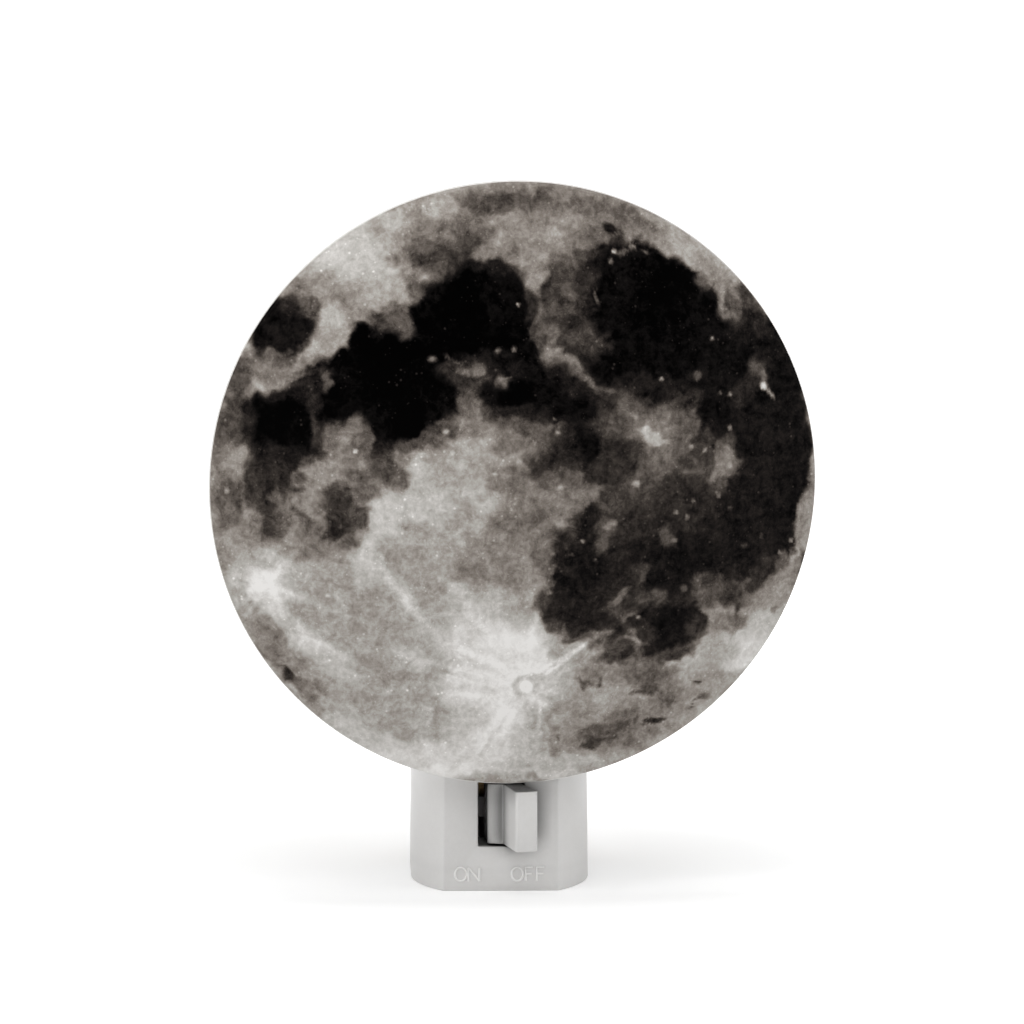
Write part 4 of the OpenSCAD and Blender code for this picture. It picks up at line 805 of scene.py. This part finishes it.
def make_bulb(glass, metal, insulator, tip, wires):
    shares = [1 - (1 - k / GLASS_STEPS) ** 1.6 for k in range(GLASS_STEPS + 1)]
    outer = [(glass_radius(t), GLASS_LOW + GLASS_TALL * t) for t in shares]
    inner = [(max(0, glass_radius(t) - GLASS_WALL * (1 - t**12)), HOLLOW_LOW + HOLLOW_TALL * t) for t in shares]
    envelope = lathe("bulb_envelope", [(0, GLASS_LOW)] + outer + inner[::-1] + [(0, HOLLOW_LOW)], 128)
    settle(on_socket(envelope), "bulb", glass, ["bulb_glass"])

    # The mount flares out to the neck below and is pressed flat about the two wires above
    stem = lathe(
        "bulb_mount",
        [(0, 57.7), (3.5, 57.7), (3.55, 58), (3.1, 58.8), (2.5, 59.9), (2.1, 61.4), (1.9, 63.5), (1.8, 65.5),
         (1.7, 67.5), (1.65, 69), (1.5, 69.9), (1.1, 70.4), (0.5, 70.6), (0, 70.65)],
    )
    for vertex in stem.data.vertices:
        press = max(0, min(1, (vertex.co.z / MM - PRESS_LOW) / PRESS_TALL))
        vertex.co.x *= 1 + 0.12 * press
        vertex.co.y *= 1 - 0.42 * press
    settle(on_socket(stem), "bulb", glass, ["bulb_stem"])

    base = lathe(
        "bulb_base_rolled",
        [(3.4, 43.2), (4.7, 43.2), (5.15, 43.35), (5.6, 43.75), (5.84, 44.2)] + climb(5.9, 44.6, 57.2)
        + [(5.88, 57.45), (5.78, 57.58), (5.66, 57.58), (5.6, 57.4)] + climb(5.6, 57.2, 44.6)
        + [(5.4, 44.1), (5, 43.7), (4.6, 43.5), (3.4, 43.5)],
        form=thread(45.2, 55.8, 0.5),
    )
    settle(on_socket(base), "bulb", metal, ["bulb_base"])

    seat = lathe(
        "bulb_insulator_ring",
        [(0, 41.4), (2.4, 41.4), (2.7, 41.5), (3.15, 42.1), (3.5, 42.65), (4.3, 42.85), (4.58, 43), (4.6, 43.2),
         (3.5, 43.22), (3.5, 43.9), (3.3, 44.1), (0, 44.1)],
    )
    settle(on_socket(seat), "bulb", insulator, ["bulb_insulator"])

    drop = lathe(
        "bulb_solder_tip",
        [(0, 40.5), (0.5, 40.53), (1, 40.65), (1.4, 40.82), (1.66, 41.05), (1.78, 41.3), (1.8, 41.42), (0, 41.42)],
        form=lambda radius, height, angle: radius * (1 + 0.03 * math.sin(3 * angle + 2)),
    )
    settle(on_socket(drop), "bulb", tip, ["bulb_tip"])

    # The filament is a fine coil along an arch between the wires' ends
    points = []
    faces = []
    count = COIL_TURNS * COIL_STEPS
    for k in range(count + 1):
        along = math.pi * k / count
        turn = math.tau * COIL_TURNS * k / count
        out = Vector((math.cos(along), 0, math.sin(along)))
        forward = Vector((-math.sin(along), 0, math.cos(along)))
        spoke = out * math.cos(turn) + Vector((0, 1, 0)) * math.sin(turn)
        for j in range(WIRE_SIDES):
            angle = math.tau * j / WIRE_SIDES
            ring = spoke * (COIL_R + WIRE_R * math.cos(angle)) + forward * WIRE_R * math.sin(angle)
            points.append((Vector((0, 0, ARCH_Z)) + out * ARCH_R + ring) * MM)
    for low in range(0, count * WIRE_SIDES, WIRE_SIDES):
        for j in range(WIRE_SIDES):
            n = (j + 1) % WIRE_SIDES
            faces.append((low + j, low + n, low + WIRE_SIDES + n, low + WIRE_SIDES + j))
    faces.append(tuple(range(WIRE_SIDES))[::-1])
    faces.append(tuple(count * WIRE_SIDES + j for j in range(WIRE_SIDES)))
    settle(on_socket(new_piece("bulb_coil", points, faces)), "bulb", wires, ["bulb_filament"])


def make_shell(metal):
    """The socket's screw shell, rolled to the same pitch but wide enough for the base to slide straight out."""
    shell = lathe(
        "socket_shell_rolled",
        climb(6.4, 41, 55.6) + [(6.38, 55.85), (6.3, 55.98), (6.2, 55.98), (6.16, 55.8)] + climb(6.16, 55.6, 41),
        form=thread(42.3, 55, 0.16),
    )
    settle(on_socket(shell), "base", metal, ["socket_shell"])


# ---------- Raised words on the switch panel ----------

STROKE_WIDTH = 0.4
LETTER_LOW = 1.85
LETTER_TALL = 2.5
RING_STEPS = 36


def stroke(name, points, closed):
    """A raised line along points (right, up) in millimetres on the panel, half sunk into it."""
    curve = bpy.data.curves.new(name, "CURVE")
    curve.dimensions = "3D"
    curve.bevel_depth = STROKE_WIDTH / 2 * MM
    curve.bevel_resolution = 3
    curve.use_fill_caps = True
    line = curve.splines.new("POLY")
    line.points.add(len(points) - 1)
    for place, (right, up) in zip(line.points, points):
        place.co = (right * MM, PANEL_Y, up * MM, 1)
    line.use_cyclic_u = closed
    holder = add_object(name, curve)
    mesh = finished_mesh(holder)
    bpy.data.objects.remove(holder)
    mesh.shade_smooth()
    return add_object(name, mesh)


def make_words(material):
    """ON to the left of the lever's middle and OFF to the right, in plain thin capitals."""
    low, high = LETTER_LOW, LETTER_LOW + LETTER_TALL
    bar = LETTER_LOW + LETTER_TALL * 0.52
    for index, (letter, left, width) in enumerate(
        (("O", -8.4, 2.1), ("N", -6.0, 2.0), ("O", 1.85, 2.1), ("F", 4.4, 1.35), ("F", 6.45, 1.4))
    ):
        right = left + width
        turns = [math.tau * k / RING_STEPS for k in range(RING_STEPS)]
        lines = {
            "O": [[(left + width / 2 * (1 + math.cos(a)), low + LETTER_TALL / 2 * (1 + math.sin(a))) for a in turns]],
            "N": [[(left, low), (left, high)], [(left, high), (right, low)], [(right, low), (right, high)]],
            "F": [[(left, low), (left, high), (right, high)], [(left, bar), (left + width * 0.86, bar)]],
        }[letter]
        for part, line in enumerate(lines):
            mark = stroke(f"word_{index}_{letter}_{part}", line, letter == "O")
            settle(mark, "base", material)


# ---------- Materials and pieces ----------

PLASTIC = moulded_plastic("white_plastic", 0.66)
# The lever is painted darker than the housing, as painted shade from the dome above it, and its gaps get stronger
# painted shade
LEVER_PLASTIC = moulded_plastic("lever_plastic", 0.61, roughness=0.38, depth=3.3)
# The raised words are painted lighter than the housing, as a painted highlight on their strokes
WORD_PLASTIC = moulded_plastic("word_plastic", 0.8, roughness=0.36)
CLIP_PLASTIC = moulded_plastic("clip_plastic", 0.7, roughness=0.45)
TOWER_PLASTIC = moulded_plastic("tower_plastic", 0.6, warmth=0.02, roughness=0.5)
SHADE_PLASTIC = moulded_plastic("shade_plastic", 0.72, warmth=0.02, roughness=0.4)
STEEL = drawn_metal("zinc_steel", (0.6, 0.6, 0.62), (0.42, 0.42, 0.44), 0.32, (1, 1, 0.1))
BRASS = drawn_metal("brass", (0.78, 0.56, 0.28), (0.5, 0.34, 0.16), 0.28, (0.1, 1, 1))
# The strips and moving contact are painted dark brass, as painted shade inside the housing seen through the gap round
# the lever
SHADED_STRIP_BRASS = drawn_metal("shaded_strip_brass", (0.32, 0.23, 0.12), (0.2, 0.14, 0.07), 0.4, (1, 0.1, 1))
SILVERED = drawn_metal("silvered_contact", (0.8, 0.79, 0.76), (0.5, 0.48, 0.45), 0.3, (1, 1, 1))
SHELL_METAL = drawn_metal("shell_metal", (0.72, 0.6, 0.4), (0.5, 0.42, 0.3), 0.34, (1, 1, 0.1))
NICKEL = drawn_metal("nickelled_base", (0.7, 0.69, 0.66), (0.45, 0.44, 0.42), 0.27, (1, 1, 0.1))
WIRE = drawn_metal("wire", (0.33, 0.32, 0.31), (0.16, 0.155, 0.15), 0.4, (0.2, 0.2, 0.2))
BOARD = fibre_board("red_fibre")
GLASS = clear_glass("bulb_clear_glass")
BLACK = lumpy("black_insulator", 0.8, 0.3, 0.7, (0.006, 0.006, 0.008), (0.02, 0.02, 0.024), (0.12, 0.3), 0.03)
SOLDER = lumpy("solder", 0.5, 0.35, 0.7, (0.42, 0.42, 0.43), (0.62, 0.62, 0.62), (0.3, 0.5), 0.08, metallic=1.0)
MOON = moon_print("moon_print")

dome = make_dome(MOON, SHADE_PLASTIC)
settle(dome, "shade", None, ["moon_shade"])
make_bosses(SHADE_PLASTIC)
make_bulb(GLASS, NICKEL, BLACK, SOLDER, WIRE)
make_shell(SHELL_METAL)
make_words(WORD_PLASTIC)

for node, body, slot, material, width in (
    ("front_housing", "base", "housing", PLASTIC, 0.25),
    ("rear_cover", "base", "housing", PLASTIC, 0.25),
    ("switch_lever", "lever", "lever", LEVER_PLASTIC, 0.2),
    ("socket_tower", "base", "tower", TOWER_PLASTIC, 0.2),
    ("shade_clip", "shade", "clip", CLIP_PLASTIC, 0.25),
    ("line_blade", "base", "blades", BRASS, 0.12),
    ("neutral_blade", "base", "blades", BRASS, 0.12),
    ("cover_screws", "base", "screws", STEEL, 0.12),
    ("clip_screws", "shade", "screws", STEEL, 0.12),
    ("blade_rivets", "base", "rivets", BRASS, 0.1),
):
    form = rounded_copy(node, width * MM)
    keep_inside(form, node)
    settle(form, body, material, [node])

for node, material in (
    ("line_strip", SHADED_STRIP_BRASS), ("neutral_strip", SHADED_STRIP_BRASS), ("centre_strip", SHADED_STRIP_BRASS),
    ("moving_contact", SHADED_STRIP_BRASS), ("contact_buttons", SILVERED), ("insulating_washer", BOARD),
    ("bulb_leads", WIRE),
):
    solid = frame["nodes"][node]
    solid.data.materials.clear()
    solid.data.materials.append(material)


# ---------- Floor, background, lights and camera ----------

FLOOR_REACH = 8.0
FLOOR_TONE = 0.9
# The floor's own glow where it is seen: behind the object, and more of it far away
FLOOR_LIFT = 0.25
FLOOR_FILL = 0.4


def seen_directly(shader):
    """1 for what the camera, a gloss or a glass shows, and 0 for light on the object."""
    rays = [shader.add("ShaderNodeLightPath", output=kind) for kind in
            ("Is Camera Ray", "Is Glossy Ray", "Is Transmission Ray")]
    return shader.math("MAXIMUM", shader.math("MAXIMUM", rays[0], rays[1]), rays[2])


def floor_material(name):
    """A pale floor that is lifted to white where it is seen, and keeps the object's shadow."""
    shader = Shader(name)
    point = shader.place()
    depth = shader.add("ShaderNodeSeparateXYZ", {0: point}, "Y")
    behind = shader.remap(depth, -22, -4, 0.35 * FLOOR_LIFT, FLOOR_LIFT)
    middle = shader.add("ShaderNodeVectorMath", {0: point, 1: (0, -12, 0)}, operation="ADD")
    oval = shader.stretch(middle, (0.75, 1, 1))
    away = shader.add("ShaderNodeVectorMath", {0: oval}, "Value", operation="LENGTH")
    far = shader.total((shader.remap(away, 36, 84, 0, FLOOR_FILL, smooth=True), 1.0), (behind, 1.0))
    glow = {"Color": grey(1), "Strength": shader.times(seen_directly(shader), far)}
    plain = shader.add("ShaderNodeBsdfDiffuse", {"Color": grey(FLOOR_TONE)})
    return shader.show(shader.add("ShaderNodeAddShader", {0: plain, 1: shader.add("ShaderNodeEmission", glow)}))


corners = [(side * FLOOR_REACH, end * FLOOR_REACH, 0) for side, end in ((-1, -1), (1, -1), (1, 1), (-1, 1))]
floor = new_piece("floor", corners, [(0, 1, 2, 3)], False)
floor.data.materials.append(floor_material("pale_floor"))

# Glossy faces see the white sweep behind the object and the dim room in front of it
sky = Shader("studio", bpy.data.worlds)
way = sky.add("ShaderNodeSeparateXYZ", {0: sky.add("ShaderNodeTexCoord", output="Generated")}, "Y")
glossy = sky.add("ShaderNodeLightPath", output="Is Glossy Ray")
dim = sky.times(glossy, sky.remap(way, 0.1, -0.5, 0, 0.9, smooth=True))
level = sky.math("SUBTRACT", sky.remap(seen_directly(sky), 0, 1, 0.4, 1.0), dim)
backdrop = sky.add("ShaderNodeBackground", {"Color": grey(1), "Strength": level})
bpy.context.scene.world = sky.show(backdrop, "ShaderNodeOutputWorld")


def turned_to(place, aim):
    """The place of a lamp or camera that looks from a point at another."""
    way = Vector(aim) - Vector(place)
    return Matrix.Translation(place) @ way.to_track_quat("-Z", "Y").to_matrix().to_4x4()


def softbox(name, place, aim, width, height, power):
    """A rectangular lamp at a place, turned towards a point."""
    lamp = bpy.data.lights.new(name, "AREA")
    lamp.size = width
    lamp.size_y = height
    lamp.energy = power
    lamp.shape = "RECTANGLE"
    holder = add_object(name, lamp)
    holder.matrix_world = turned_to(place, aim)
    return holder


softbox("above", (0.0, -0.35, 1.25), (0, 0, 0.05), 1.1, 0.8, 7.5)
softbox("left", (-1.2, -0.45, 0.55), (0, 0, 0.06), 0.8, 0.8, 5)
softbox("right", (1.2, -0.45, 0.55), (0, 0, 0.06), 0.8, 0.8, 3.5)
softbox("front", (0.1, -1.45, 1.35), (0, 0, 0.06), 1.2, 0.8, 5.5).visible_glossy = False

# The camera looks at AIM from AWAY metres; the picture is twice HALF_VIEW wide there
AIM = Vector((1.955, -13.5, 69.71)) * MM
AZIMUTH = math.radians(-1.375)
ELEVATION = math.radians(9.477)
AWAY = 2.2
HALF_VIEW = 0.09245
eye = AIM + AWAY * Vector((
    math.sin(AZIMUTH) * math.cos(ELEVATION), -math.cos(AZIMUTH) * math.cos(ELEVATION), math.sin(ELEVATION)
))
lens = bpy.data.cameras.new("camera")
lens.sensor_width = 36
lens.lens = lens.sensor_width / 2 * AWAY / HALF_VIEW
camera = add_object("camera", lens)
camera.matrix_world = turned_to(eye, AIM)
bpy.context.scene.camera = camera

bpy.context.scene.view_settings.view_transform = "Standard"
